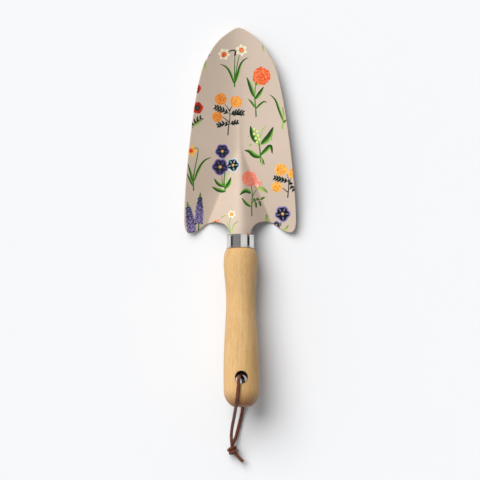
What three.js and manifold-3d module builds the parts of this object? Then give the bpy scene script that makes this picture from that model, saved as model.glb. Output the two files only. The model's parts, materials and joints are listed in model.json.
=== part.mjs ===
// Hand trowel with a dished steel blade, a chromed ferrule, a turned wooden handle and a leather
// lanyard. It lies on a flat surface with the hollow of the blade upwards. Units are millimetres,
// +Z is up and +Y points towards the tip. The origin is in the middle of the trowel's length and
// width, on the surface that it lies on.
import * as THREE from 'three';
import { mergeVertices } from 'three/addons/utils/BufferGeometryUtils.js';
import Module from 'manifold-3d';

// ---------- driving dimensions ----------

// Blade. "Behind" counts from the tip towards the handle, "across" from the middle line outwards.
const bladeReach = 175.5; // tip to the front face of the ferrule
const bladeWidth = 95.2;
const sheetThickness = 1.5;
const tipPointHalfWidth = 3.5; // half width of the blunt point
const tipPointDepth = 1;
const shoulderAcross = 28.8; // where the point's curve runs into the side's curve
const shoulderBehind = 28.9;
const shoulderDirection = 0.53; // angle between the outline and the middle line there, radians
const widestBeforeFerrule = 11.5;
const lobeCornerAcross = 5.5; // the rounded rear corner of each lobe
const lobeBeforeFerrule = 0.8;
const scallopAcross = 21.5; // top of the rounded cut-out between lobe and neck
const scallopBeforeFerrule = 10.2;
const neckHalfWidth = 9;

// Blade section: a dish with straight sloping sides and a rounded floor.
const dishSlope = Math.tan(THREE.MathUtils.degToRad(21));
const dishFloorRadius = 12;
const tipLift = 6.5;

// Pressed ridge: a widening fold that rises from the dish floor to the neck.
const ridgeLength = 71.5; // from its start to the ferrule
const ridgeRise = 0.36; // height gained per millimetre of length
const ridgeTipRadius = 1.5;
const ridgeRadiusGrowth = 0.05; // crest radius gained per millimetre of length
const ridgeStraightens = 6; // before the ferrule the crest turns parallel to the handle
const footBlend = 1.8;

// Handle line.
const handleTilt = THREE.MathUtils.degToRad(7);

// Ferrule.
const ferruleLength = 11.5;
const ferruleInnerRadius = 10.9;
const ferruleWall = 0.8;
const ferruleBeadHeight = 0.35;
const ferruleBeadLength = 1.3;

// Handle. Stations count from the shoulder behind the ferrule, or from the butt end.
const handleLength = 135;
const collarRadius = 11.9;
const frontSwellRadius = 14.35;
const frontSwellAt = 13.5;
const waistRadius = 12.5;
const waistAt = 48;
const palmRadius = 15.15;
const palmBeforeButt = 24;
const buttRoundLength = 14;
const buttFlatRadius = 8.1;
const laceHoleRadius = 5.2;
const laceHoleBeforeButt = 22.9;

// Tang: a round rod welded under the ridge and glued into the handle.
const tangRadius = 3.5;
const tangInHandle = 58; // length inside the wood
const tangUnderBlade = 22; // length in front of the ferrule
const tangTipChamfer = 1;
const weldThroat = 1.9; // bead radius where the rod touches the crest
const weldLength = 11;
const weldSpread = THREE.MathUtils.degToRad(52); // angle of each bead from the top of the rod

// Lanyard.
const laceDiameter = 2.7;
const knotRadii = new THREE.Vector3(4.4, 4.4, 5.2);
const knotCentre = new THREE.Vector3(-7.8, -197.6, 5.5);

// Clearances between touching pieces.
const touchGap = 0.3;
const neckClearance = 0.5; // between the neck of the blade and the ferrule's wall
const tangClearance = 0.35;
const tenonSetback = 4.3; // from the ferrule's front face to the end of the handle's tenon
const boreBottomGap = 2;

// Smoothness.
const bladeColumns = 26;
const bladeRows = 30;
const columnCrowding = 1.35; // above 1 puts more columns near the ridge
const roundSides = 40;
const laceSides = 8;
const laceSteps = 64;

// ---------- derived dimensions ----------

const halfWidth = bladeWidth / 2;
const ridgeStart = bladeReach - ridgeLength;
const handleSlope = Math.tan(handleTilt);
const shoulderAt = ferruleLength + touchGap; // along the handle line, from the ferrule's face
const buttAt = shoulderAt + handleLength;
const tenonRadius = ferruleInnerRadius - touchGap;
const boreRadius = tangRadius + tangClearance;
const boreEndAt = tenonSetback + tangInHandle + boreBottomGap;
const laceHoleAt = buttAt - laceHoleBeforeButt;
const laceRadius = laceDiameter / 2;
// The neck goes into the ferrule and stops clear of the tilted end of the tenon.
const neckInsert = tenonSetback * Math.cos(handleTilt)
  - ferruleInnerRadius * Math.sin(handleTilt) - touchGap;

// ---------- materials ----------

const finish = (color, roughness, metalness) =>
  new THREE.MeshStandardMaterial({ color, roughness, metalness });
const lacquer = finish(0xe6d6c6, 0.45, 0.1);
const weldedSteel = finish(0xcdbfb2, 0.5, 0.4);
const chrome = finish(0xd8d8da, 0.12, 1);
const wood = finish(0xddb57f, 0.6, 0);
const leather = finish(0x6e3a26, 0.65, 0);

// ---------- helpers ----------

const wasm = await Module();
wasm.setup();

function toSolid(geometry) {
  const bare = geometry.clone();
  bare.deleteAttribute('normal');
  bare.deleteAttribute('uv');
  const merged = mergeVertices(bare, 1e-4);
  return new wasm.Manifold(new wasm.Mesh({
    numProp: 3,
    vertProperties: new Float32Array(merged.attributes.position.array),
    triVerts: new Uint32Array(merged.index.array),
  }));
}

function toGeometry(solid) {
  const mesh = solid.getMesh();
  const geometry = new THREE.BufferGeometry();
  geometry.setAttribute('position', new THREE.BufferAttribute(mesh.vertProperties, 3));
  geometry.setIndex(new THREE.BufferAttribute(mesh.triVerts, 1));
  geometry.computeVertexNormals();
  return geometry;
}

function namedMesh(name, geometry, material) {
  const mesh = new THREE.Mesh(geometry, material);
  mesh.name = name;
  return mesh;
}

function tube(points, radius, sides, steps) {
  const section = new THREE.Shape();
  for (let side = 0; side < sides; side += 1) {
    const angle = (side / sides) * 2 * Math.PI;
    const corner = [radius * Math.cos(angle), radius * Math.sin(angle)];
    if (side === 0) section.moveTo(...corner);
    else section.lineTo(...corner);
  }
  section.closePath();
  const extrudePath = new THREE.CatmullRomCurve3(points, false, 'centripetal');
  return new THREE.ExtrudeGeometry(section, { steps, extrudePath, bevelEnabled: false });
}

// A soft step: 0 well before the start, then rising one for one, with the corner rounded.
const softRamp = (distance, width) => width * Math.log1p(Math.exp(distance / width));
const smoothMax = (a, b, blend) => (a + b + Math.hypot(a - b, blend)) / 2;
// A fold with straight sides of slope 1 and a rounded middle.
const roundedFold = (across, radius) => Math.hypot(across, radius) - radius;

// ---------- blade surface ----------

function crestHeight(behind) {
  const rise = ridgeRise * softRamp(behind - ridgeStart, 3);
  const straightenFrom = bladeReach - ridgeStraightens;
  return rise - (ridgeRise - handleSlope) * softRamp(behind - straightenFrom, 1.5);
}

function crestRadius(behind) {
  return ridgeTipRadius + ridgeRadiusGrowth * softRamp(behind - ridgeStart, 3);
}

// How far across the ridge's flank comes down to the level of the surface it rests on.
function footAcross(behind) {
  const radius = crestRadius(behind);
  return Math.sqrt((crestHeight(behind) + radius) ** 2 - radius ** 2);
}

const dishHeight = (across) => dishSlope * roundedFold(across, dishFloorRadius);

// Height of the underside. The dish is let down beside the ridge, so both valley floors are level.
function undersideHeight(across, behind) {
  const lift = tipLift * (Math.max(0, ridgeStart - behind) / ridgeStart) ** 2;
  const dish = dishHeight(across) + lift - dishHeight(footAcross(behind));
  const ridge = crestHeight(behind) - roundedFold(across, crestRadius(behind));
  return smoothMax(dish, ridge, footBlend);
}

// The sheet keeps its thickness square to the surface, so a steep place is taller upwards.
function sheetHeight(across, behind) {
  const step = 0.05;
  const height = undersideHeight(across, behind);
  const slopeAcross = (undersideHeight(across + step, behind) - height) / step;
  const slopeBehind = (undersideHeight(across, behind + step) - height) / step;
  return sheetThickness * Math.hypot(1, slopeAcross, slopeBehind);
}

// ---------- handle profile ----------

function handleProfile() {
  const palmAt = handleLength - palmBeforeButt;
  const roundFrom = handleLength - buttRoundLength;
  const path = new THREE.Path();
  path.moveTo(collarRadius, 0);
  path.bezierCurveTo(
    collarRadius + 0.7 * (frontSwellRadius - collarRadius), 0.1 * frontSwellAt,
    frontSwellRadius, 0.5 * frontSwellAt,
    frontSwellRadius, frontSwellAt,
  );
  const gripLength = waistAt - frontSwellAt;
  path.bezierCurveTo(
    frontSwellRadius, frontSwellAt + 0.22 * gripLength,
    waistRadius, waistAt - 0.46 * gripLength,
    waistRadius, waistAt,
  );
  const palmLength = palmAt - waistAt;
  path.bezierCurveTo(
    waistRadius, waistAt + 0.19 * palmLength,
    palmRadius, palmAt - 0.53 * palmLength,
    palmRadius, palmAt,
  );
  path.lineTo(palmRadius, roundFrom);
  path.bezierCurveTo(
    palmRadius, roundFrom + 0.5 * buttRoundLength,
    buttFlatRadius + 0.58 * (palmRadius - buttFlatRadius), handleLength - 0.2 * buttRoundLength,
    buttFlatRadius, handleLength,
  );
  return path.getPoints(7);
}

// How far the handle reaches behind the ferrule's face, measured level.
function handleReach(profile) {
  const levelReach = (point) =>
    (shoulderAt + point.y) * Math.cos(handleTilt) + point.x * Math.sin(handleTilt);
  return Math.max(...profile.map(levelReach));
}

const profile = handleProfile();
const tipY = (bladeReach + handleReach(profile)) / 2;
const ferruleY = tipY - bladeReach;

// The crest's top runs just inside the ferrule's wall.
const crestTop = crestHeight(bladeReach) + sheetHeight(0, bladeReach);
const ferruleZ = crestTop - (ferruleInnerRadius - neckClearance) / Math.cos(handleTilt);

// ---------- frames ----------

const trowel = new THREE.Group();

// In this frame +Y runs along the handle, away from the blade, with the ferrule's face at 0.
const handleLine = new THREE.Group();
handleLine.position.set(0, ferruleY, ferruleZ);
handleLine.rotation.x = Math.PI - handleTilt;
handleLine.updateMatrix();
trowel.add(handleLine);

// ---------- blade ----------

// The pressed sheet before its edge is trimmed; the faces can be moved up for a clearance body.
function pressedSheet(lowerFaceDrop, upperFaceRise) {
  const length = bladeReach + neckInsert + 10;
  const sheet = new THREE.BoxGeometry(2, length, 2, bladeColumns, bladeRows, 1);
  const position = sheet.attributes.position;
  for (let index = 0; index < position.count; index += 1) {
    const share = position.getX(index);
    const across = Math.sign(share) * (halfWidth + 2) * Math.abs(share) ** columnCrowding;
    const behind = length / 2 - position.getY(index) - 3;
    const underside = undersideHeight(across, behind);
    const height = position.getZ(index) > 0
      ? underside + sheetHeight(across, behind) + upperFaceRise
      : underside - lowerFaceDrop;
    position.setXYZ(index, across, tipY - behind, height);
  }
  return sheet;
}

function bladeOutline() {
  const side = Math.sin(shoulderDirection);
  const back = Math.cos(shoulderDirection);
  const widestBehind = bladeReach - widestBeforeFerrule;
  const lobeBehind = bladeReach - lobeBeforeFerrule;
  const lobeAcross = halfWidth - lobeCornerAcross;
  const scallopBehind = bladeReach - scallopBeforeFerrule;
  const neckEnd = bladeReach + neckInsert;
  const outline = new THREE.Shape();
  // Each half is drawn from the tip to the end of the neck; the left one is then run backwards.
  const half = new THREE.Path();
  half.moveTo(tipPointHalfWidth, tipPointDepth);
  half.bezierCurveTo(
    tipPointHalfWidth + 17, tipPointDepth + 9.5,
    shoulderAcross - 12 * side, shoulderBehind - 12 * back,
    shoulderAcross, shoulderBehind,
  );
  half.bezierCurveTo(
    shoulderAcross + 17 * side, shoulderBehind + 17 * back,
    halfWidth, widestBehind - 35,
    halfWidth, widestBehind,
  );
  half.bezierCurveTo(
    halfWidth, lobeBehind - 3,
    lobeAcross + 3.5, lobeBehind,
    lobeAcross, lobeBehind,
  );
  const wave = lobeAcross - scallopAcross;
  half.bezierCurveTo(
    lobeAcross - 0.35 * wave, lobeBehind,
    scallopAcross + 0.4 * wave, scallopBehind,
    scallopAcross, scallopBehind,
  );
  half.bezierCurveTo(
    scallopAcross - 6, scallopBehind,
    neckHalfWidth + 1.2, scallopBehind + 2.5,
    neckHalfWidth, bladeReach - 0.5,
  );
  half.lineTo(neckHalfWidth - 0.3, neckEnd);
  const points = half.getPoints(9);
  outline.moveTo(0, tipY);
  points.forEach((point) => outline.lineTo(point.x, tipY - point.y));
  points.reverse().forEach((point) => outline.lineTo(-point.x, tipY - point.y));
  outline.closePath();
  return outline;
}

function makeBlade() {
  const height = 80;
  const stamp = new THREE.ExtrudeGeometry(bladeOutline(), { depth: height, bevelEnabled: false });
  stamp.translate(0, 0, -height / 2);
  return toGeometry(toSolid(pressedSheet(0, 0)).intersect(toSolid(stamp)));
}

trowel.add(namedMesh('blade', makeBlade(), lacquer));

// ---------- tang ----------

function makeTang() {
  const endAt = tenonSetback + tangInHandle;
  const length = endAt + tangUnderBlade;
  const rod = new THREE.LatheGeometry([
    new THREE.Vector2(0, -tangUnderBlade),
    new THREE.Vector2(tangRadius - 0.5, -tangUnderBlade),
    new THREE.Vector2(tangRadius, -tangUnderBlade + 0.5),
    new THREE.Vector2(tangRadius, length - tangUnderBlade - tangTipChamfer),
    new THREE.Vector2(tangRadius - tangTipChamfer, length - tangUnderBlade),
    new THREE.Vector2(0, length - tangUnderBlade),
  ], 24);
  let tang = toSolid(rod);
  // The beads grow with the space that the rod leaves under the crest at its front end.
  const frontBehind = bladeReach - tangUnderBlade * Math.cos(handleTilt);
  const rodTop = ferruleZ - tangUnderBlade * Math.sin(handleTilt) + tangRadius;
  const weldRadius = weldThroat + Math.max(0, crestHeight(frontBehind) - rodTop) / 2;
  for (const turn of [-weldSpread, weldSpread]) {
    const bead = new THREE.CapsuleGeometry(weldRadius, weldLength - 2 * weldRadius, 4, 12);
    // In the handle's frame -Z is the side that faces up.
    const reach = tangRadius + 0.35 * weldRadius;
    bead.translate(
      reach * Math.sin(turn),
      -tangUnderBlade + weldLength / 2 - 1,
      -reach * Math.cos(turn),
    );
    tang = tang.add(toSolid(bead));
  }
  const clearance = pressedSheet(touchGap * Math.SQRT2, 20);
  clearance.applyMatrix4(handleLine.matrix.clone().invert());
  return toGeometry(tang.subtract(toSolid(clearance)));
}

handleLine.add(namedMesh('tang', makeTang(), weldedSteel));

// ---------- ferrule ----------

function makeFerrule() {
  const outer = ferruleInnerRadius + ferruleWall;
  const crown = outer + ferruleBeadHeight;
  const bead = ferruleBeadLength;
  const length = ferruleLength;
  const ring = [
    [ferruleInnerRadius, 0.3],
    [ferruleInnerRadius, length],
    [outer, length],
    [crown, length - 0.3 * bead],
    [crown, length - 0.7 * bead],
    [outer, length - bead],
    [outer, bead],
    [crown, 0.7 * bead],
    [crown, 0.3 * bead],
    [outer, 0],
    [ferruleInnerRadius + 0.3, 0],
    [ferruleInnerRadius, 0.3],
  ];
  // The section runs anticlockwise when seen with the axis on its left.
  const section = ring.map(([radius, along]) => new THREE.Vector2(radius, along)).reverse();
  return new THREE.LatheGeometry(section, roundSides);
}

handleLine.add(namedMesh('ferrule', makeFerrule(), chrome));

// ---------- handle ----------

function makeHandle() {
  const inner = [
    [0, boreEndAt],
    [boreRadius, boreEndAt],
    [boreRadius, tenonSetback],
    [tenonRadius, tenonSetback],
    [tenonRadius, shoulderAt],
  ];
  const section = [
    ...inner.map(([radius, along]) => new THREE.Vector2(radius, along)),
    ...profile.map((point) => new THREE.Vector2(point.x, shoulderAt + point.y)),
    new THREE.Vector2(0, buttAt),
  ];
  const turned = new THREE.LatheGeometry(section, roundSides);
  const drill = new THREE.CylinderGeometry(laceHoleRadius, laceHoleRadius, 4 * palmRadius, 28);
  drill.rotateX(Math.PI / 2);
  drill.translate(0, laceHoleAt, 0);
  return toGeometry(toSolid(turned).subtract(toSolid(drill)));
}

handleLine.add(namedMesh('handle', makeHandle(), wood));

// The lowest points stand on the surface.
trowel.position.z = -new THREE.Box3().setFromObject(trowel, true).min.z;

// ---------- lanyard ----------

// One lace goes down through the hole; both legs meet in the knot and end in two short tails.
const upperLeg = [
  [-8.2, -194.8, 8.1],
  [-8.8, -190.6, 9.0],
  [-9.0, -185.8, 11.6],
  [-8.5, -180.2, 15.6],
  [-7.5, -174.6, 21.2],
  [-6.5, -169.6, 27.6],
  [-5.7, -165.2, 34.0],
  [-5.0, -161.3, 39.9],
  [-4.4, -157.0, 44.4],
  [-3.7, -152.0, 46.9],
  [-3.0, -146.9, 47.9],
  [-2.6, -142.3, 48.1],
];
const throughHole = [
  [-2.4, -138.9, 47.3],
  [-2.0, -136.7, 45.1],
  [-1.5, -135.9, 42.1],
  [-0.6, -136.0, 35.8],
  [0.2, -136.7, 29.6],
  [0.8, -137.4, 23.6],
  [1.3, -138.5, 17.8],
];
const lowerLeg = [
  [1.6, -140.4, 12.6],
  [1.7, -143.6, 8.6],
  [1.6, -148.2, 5.6],
  [1.4, -154.0, 3.6],
  [0.9, -160.6, 2.4],
  [-0.2, -167.6, 1.8],
  [-1.9, -174.8, 1.7],
  [-3.8, -182.0, 1.9],
  [-5.6, -188.4, 2.8],
  [-7.0, -194.0, 4.0],
];
const upperTail = [
  [-6.8, -199.0, 7.1],
  [-4.6, -201.6, 7.2],
  [-1.8, -204.7, 7.0],
  [1.1, -207.8, 6.7],
];
const lowerTail = [
  [-7.0, -199.2, 4.3],
  [-4.8, -201.8, 4.2],
  [-2.1, -204.9, 3.9],
  [0.6, -207.7, 3.6],
];

const toVectors = (points) => points.map((point) => new THREE.Vector3(...point));

function knotBody(extra) {
  const body = new THREE.SphereGeometry(1, 18, 12);
  body.scale(knotRadii.x + extra, knotRadii.y + extra, knotRadii.z + extra);
  body.translate(knotCentre.x, knotCentre.y, knotCentre.z);
  return body;
}

// A stretch of lace, cut back to the clearance that it keeps to the knot.
function laceStretch(points, steps) {
  const lace = toSolid(tube(toVectors(points), laceRadius, laceSides, steps));
  return toGeometry(lace.subtract(toSolid(knotBody(touchGap))));
}

const lanyard = new THREE.Group();
const loopPoints = [...upperLeg, ...throughHole, ...lowerLeg];
lanyard.add(namedMesh('lanyard_loop', laceStretch(loopPoints, laceSteps), leather));
lanyard.add(namedMesh('lanyard_knot', knotBody(0), leather));
lanyard.add(namedMesh('lanyard_tail_upper', laceStretch(upperTail, 6), leather));
lanyard.add(namedMesh('lanyard_tail_lower', laceStretch(lowerTail, 6), leather));

const object = new THREE.Group();
object.add(trowel, lanyard);

export default object;
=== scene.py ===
"""Hand trowel with a printed blade, a turned handle and a leather lanyard, built around its frame."""

import json
import logging
import math
from collections.abc import Sequence
from dataclasses import dataclass, field
from enum import Enum

import bmesh
import bpy
import numpy as np
from bmesh.types import BMEdge, BMesh, BMVert
from bpy.types import Material, Node, NodeTree, Object
from bpy.types import NodeSocket as Socket
from mathutils import Matrix, Vector
from mathutils.kdtree import KDTree

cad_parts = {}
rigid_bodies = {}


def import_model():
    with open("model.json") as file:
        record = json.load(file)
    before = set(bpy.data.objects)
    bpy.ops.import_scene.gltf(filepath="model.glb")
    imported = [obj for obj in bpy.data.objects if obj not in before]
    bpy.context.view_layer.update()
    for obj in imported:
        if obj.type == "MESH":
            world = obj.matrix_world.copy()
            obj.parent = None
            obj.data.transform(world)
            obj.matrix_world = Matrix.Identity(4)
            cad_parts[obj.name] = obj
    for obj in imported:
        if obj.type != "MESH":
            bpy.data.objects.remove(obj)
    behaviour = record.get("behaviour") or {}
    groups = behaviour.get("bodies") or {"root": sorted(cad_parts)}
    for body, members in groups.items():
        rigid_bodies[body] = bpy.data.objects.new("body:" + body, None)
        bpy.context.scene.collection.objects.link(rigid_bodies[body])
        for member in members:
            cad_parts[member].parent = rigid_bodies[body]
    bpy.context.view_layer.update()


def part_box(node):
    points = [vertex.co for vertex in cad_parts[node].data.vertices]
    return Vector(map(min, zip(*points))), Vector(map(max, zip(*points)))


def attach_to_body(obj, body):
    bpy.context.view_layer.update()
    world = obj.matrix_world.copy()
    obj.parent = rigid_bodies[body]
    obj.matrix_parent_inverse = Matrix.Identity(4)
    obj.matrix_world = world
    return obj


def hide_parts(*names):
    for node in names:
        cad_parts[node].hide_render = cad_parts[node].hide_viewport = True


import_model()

LOG = logging.getLogger("hand_trowel")
MM = 0.001
HANDLE_TILT = math.radians(7)
Point = tuple[float, float]
Triple = tuple[float, float, float]
Colour = Triple
Stroke = tuple[float | Point, ...]  # A width, then the points of a middle line.


# ---------- colour and curve helpers ----------


def srgb(red: float, green: float, blue: float) -> Colour:
    """Turns a display colour into a linear one.

    Args:
        red: red, 0 to 255.
        green: green, 0 to 255.
        blue: blue, 0 to 255.

    Returns:
        The linear colour, 0 to 1.
    """
    scaled = np.array((red, green, blue)) / 255
    linear = np.where(scaled > 0.04045, ((scaled + 0.055) / 1.055) ** 2.4, scaled / 12.92)
    return tuple(float(value) for value in linear)


def bezier(a: Point, b: Point, c: Point, d: Point, steps: int = 24) -> np.ndarray:
    """Samples a cubic curve.

    Args:
        a: start point.
        b: first handle.
        c: second handle.
        d: end point.
        steps: number of steps.

    Returns:
        The points, one row each, the start left out.
    """
    t = np.linspace(0, 1, steps + 1)[1:, None]
    return (
        (1 - t) ** 3 * np.array(a)
        + 3 * (1 - t) ** 2 * t * np.array(b)
        + 3 * (1 - t) * t**2 * np.array(c)
        + t**3 * np.array(d)
    )


def smooth_line(points: Sequence[Sequence[float]], per_span: int) -> np.ndarray:
    """Runs one smooth centripetal curve through points.

    Args:
        points: the points that it passes, in order.
        per_span: samples between two neighbours.

    Returns:
        The samples, one row each.
    """
    p = np.array(points, float)
    p = np.vstack([2 * p[0] - p[1], p, 2 * p[-1] - p[-2]])
    knot = np.concatenate([[0], np.cumsum(np.linalg.norm(np.diff(p, axis=0), axis=1) ** 0.5)])
    found = [p[1]]
    for i in range(1, len(p) - 2):
        t0, t1, t2, t3 = knot[i - 1 : i + 3]
        for t in np.linspace(t1, t2, per_span + 1)[1:]:
            a1 = p[i - 1] + (p[i] - p[i - 1]) * (t - t0) / (t1 - t0)
            a2 = p[i] + (p[i + 1] - p[i]) * (t - t1) / (t2 - t1)
            a3 = p[i + 1] + (p[i + 2] - p[i + 1]) * (t - t2) / (t3 - t2)
            b1 = a1 + (a2 - a1) * (t - t0) / (t2 - t0)
            b2 = a2 + (a3 - a2) * (t - t1) / (t3 - t1)
            found.append(b1 + (b2 - b1) * (t - t1) / (t2 - t1))
    return np.array(found)


def even_line(points: np.ndarray, step: float) -> np.ndarray:
    """Samples a line again at even distances.

    Args:
        points: the line, one row for each point.
        step: the distance wanted between samples.

    Returns:
        The samples, both ends kept.
    """
    run = np.concatenate([[0], np.cumsum(np.linalg.norm(np.diff(points, axis=0), axis=1))])
    at = np.linspace(0, run[-1], max(2, round(run[-1] / step) + 1))
    return np.stack([np.interp(at, run, column) for column in points.T], axis=1)


def nearest(line: np.ndarray, spots: np.ndarray) -> tuple[np.ndarray, np.ndarray]:
    """Finds the point of a line that is nearest to each of many places.

    Args:
        line: its points, one row each, of two or three numbers.
        spots: the places, in the same way.

    Returns:
        The nearest points' numbers, and how far away they are.
    """
    tree = KDTree(len(line))
    for number, point in enumerate(line):
        tree.insert(Vector(point).to_3d(), number)
    tree.balance()
    found = [tree.find(Vector(spot).to_3d()) for spot in spots]
    return np.array([index for _, index, _ in found]), np.array([away for _, _, away in found])


# ---------- meshes ----------


def piece(bm: BMesh, name: str, finish: Material) -> Object:
    """Makes a smooth-shaded piece from a mesh in work and frees it.

    Args:
        bm: the mesh in work, in metres and in place.
        name: the piece's name.
        finish: its material.

    Returns:
        The new object, at the origin.
    """
    mesh = bpy.data.meshes.new(name)
    bm.to_mesh(mesh)
    bm.free()
    mesh.shade_smooth()
    mesh.materials.append(finish)
    made = bpy.data.objects.new(name, mesh)
    bpy.context.scene.collection.objects.link(made)
    return made


def fit_to_frame(made: Object, body: str, stands_for: Sequence[str]) -> Object:
    """Lets a piece ride on a body, and says what it stands for.

    Args:
        made: the piece.
        body: the body that it moves with.
        stands_for: the nodes that it replaces.

    Returns:
        The same piece.
    """
    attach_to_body(made, body)
    if stands_for:
        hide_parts(*stands_for)
    LOG.info("%s rides on %s: %d faces", made.name, body, len(made.data.polygons))
    return made


def spread_value(made: Object, name: str, values: np.ndarray) -> None:
    """Keeps one number per vertex as an attribute.

    Args:
        made: the piece.
        name: the attribute's name.
        values: one value for each vertex.
    """
    layer = made.data.attributes.new(name, "FLOAT", "POINT")
    layer.data.foreach_set("value", np.asarray(values, np.float32))


def places(made: Object) -> np.ndarray:
    """Gives a piece's vertices, one row each, in millimetres.

    Args:
        made: the piece.

    Returns:
        Their places.
    """
    found = np.zeros(len(made.data.vertices) * 3, np.float32)
    made.data.vertices.foreach_get("co", found)
    return found.reshape(-1, 3).astype(float) / MM


def turned(profile: Sequence[Point], sides: int, matrix: Matrix, closed: bool = False) -> BMesh:
    """Turns a profile round the Y axis, as on a lathe.

    Args:
        profile: radius and place along the axis, in millimetres.
        sides: steps in the full turn.
        matrix: takes the finished shape to its place.
        closed: joins the profile's last point to its first.

    Returns:
        The closed shape, in metres.
    """
    bm = bmesh.new()
    verts = [bm.verts.new((radius * MM, along * MM, 0)) for radius, along in profile]
    edges = [bm.edges.new(pair) for pair in zip(verts, verts[1:], strict=False)]
    if closed:
        edges.append(bm.edges.new((verts[-1], verts[0])))
    bmesh.ops.spin(
        bm, geom=verts + edges, cent=(0, 0, 0), axis=(0, 1, 0), angle=math.tau,
        steps=sides, use_merge=True,
    )
    bmesh.ops.remove_doubles(bm, verts=bm.verts, dist=1e-7)
    bmesh.ops.transform(bm, matrix=matrix, verts=bm.verts)
    bmesh.ops.recalc_face_normals(bm, faces=bm.faces)
    return bm


def extruded(bm: BMesh, edges: list) -> tuple[list, list]:
    """Extrudes edges once.

    Args:
        bm: the mesh in work.
        edges: the edges.

    Returns:
        The new edges and the new vertices.
    """
    grown = bmesh.ops.extrude_edge_only(bm, edges=edges)["geom"]
    return [g for g in grown if isinstance(g, BMEdge)], [g for g in grown if isinstance(g, BMVert)]


def modifiers_kept(made: Object) -> Object:
    """Applies a piece's modifiers to its mesh.

    Args:
        made: the piece.

    Returns:
        The same piece, with no modifiers.
    """
    shown = made.evaluated_get(bpy.context.evaluated_depsgraph_get())
    mesh = bpy.data.meshes.new_from_object(shown)
    mesh.name = made.name
    made.modifiers.clear()
    made.data = mesh
    return made


# ---------- node helpers ----------


@dataclass
class Bench:
    """Adds nodes to one tree and links them."""

    tree: NodeTree

    def put(self, socket: Socket, value: object) -> None:
        """Links an input to a socket, or sets it to a plain value.

        Args:
            socket: the input.
            value: another node's output, or a plain value.
        """
        if isinstance(value, Socket):
            self.tree.links.new(value, socket)
        else:
            socket.default_value = opaque(value) if socket.type == "RGBA" else value

    def node(self, kind: str, sockets: dict[str | int, object], **settings: object) -> Node:
        """Adds a node.

        Args:
            kind: the node's type, without "ShaderNode".
            sockets: what each input is linked to or set to.
            **settings: the node's own settings.

        Returns:
            The node.
        """
        made = self.tree.nodes.new("ShaderNode" + kind)
        for name, value in settings.items():
            setattr(made, name, value)
        for name, value in sockets.items():
            self.put(made.inputs[name], value)
        return made

    def maths(self, operation: str, *values: object) -> Socket:
        """Adds a Math node on the given values and returns its output."""
        return self.node("Math", dict(enumerate(values)), operation=operation).outputs[0]

    def add(self, first: object, second: object) -> Socket:
        """Adds two values."""
        return self.maths("ADD", first, second)

    def less(self, first: object, second: object) -> Socket:
        """Takes the second value from the first."""
        return self.maths("SUBTRACT", first, second)

    def times(self, first: object, second: object) -> Socket:
        """Multiplies two values."""
        return self.maths("MULTIPLY", first, second)

    def mix(self, share: object, first: object, second: object, how: str = "MIX") -> Socket:
        """Mixes a share of the second colour into the first, and returns the mixed colour."""
        sockets = {0: share, 6: first, 7: second}
        return self.node("Mix", sockets, data_type="RGBA", blend_type=how).outputs[2]

    def shaded(self, colour: object, level: Socket) -> Socket:
        """Multiplies a colour by a value."""
        grey = self.node("CombineColor", {0: level, 1: level, 2: level}).outputs[0]
        return self.mix(1.0, colour, grey, "MULTIPLY")

    def range(self, value: Socket, low: float, high: float, to: Point = (0.0, 1.0)) -> Socket:
        """Maps a value smoothly from low and high to the two numbers of the last argument."""
        sockets = {0: value, 1: low, 2: high, 3: to[0], 4: to[1]}
        return self.node("MapRange", sockets, interpolation_type="SMOOTHSTEP").outputs[0]

    def noise(self, vector: Socket, scale: float, detail: float = 2.0, rough: float = 0.5) -> Socket:
        """Adds a Noise Texture and returns its value."""
        sockets = {"Vector": vector, "Scale": scale, "Detail": detail, "Roughness": rough}
        return self.node("TexNoise", sockets).outputs[0]

    def placed(
        self, vector: Socket, turn: Triple = (0.0, 0.0, 0.0), size: Triple = (1.0, 1.0, 1.0)
    ) -> Socket:
        """Turns and then stretches a pattern's coordinates."""
        return self.node("Mapping", {0: vector, 2: turn, 3: size}).outputs[0]

    def parts(self, vector: Socket) -> tuple[Socket, Socket, Socket]:
        """Splits a vector into its three parts."""
        return tuple(self.node("SeparateXYZ", {0: vector}).outputs)

    def attribute(self, name: str, output: str = "Fac") -> Socket:
        """Reads one of the piece's own attributes."""
        return self.node("Attribute", {}, attribute_name=name).outputs[output]

    def effect(self, tree: NodeTree, place: Socket, **values: object) -> Socket:
        """Places a shared effect with its own values, and returns what it puts out."""
        return self.node("Group", {"Vector": place, **values}, node_tree=tree).outputs[0]


def opaque(colour: object) -> object:
    """Gives a plain colour its alpha; a socket stays as it is."""
    return (*colour, 1.0) if isinstance(colour, tuple) and len(colour) == 3 else colour


def shared_effect(
    name: str, inputs: Sequence[tuple[str, str, float]], outputs: Sequence[str]
) -> tuple[NodeTree, Bench, Node, Node]:
    """Starts a node group that several finishes use.

    Args:
        name: the group's name.
        inputs: name, socket type and default of each input.
        outputs: names of the outputs, all plain values.

    Returns:
        The group, its bench, and its input and output nodes.
    """
    tree = bpy.data.node_groups.new(name, "ShaderNodeTree")
    for label, kind, default in inputs:
        socket = tree.interface.new_socket(label, in_out="INPUT", socket_type="NodeSocket" + kind)
        if kind == "Float":
            socket.default_value = default
    for label in outputs:
        tree.interface.new_socket(label, in_out="OUTPUT", socket_type="NodeSocketFloat")
    into, out = tree.nodes.new("NodeGroupInput"), tree.nodes.new("NodeGroupOutput")
    return tree, Bench(tree), into, out


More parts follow.
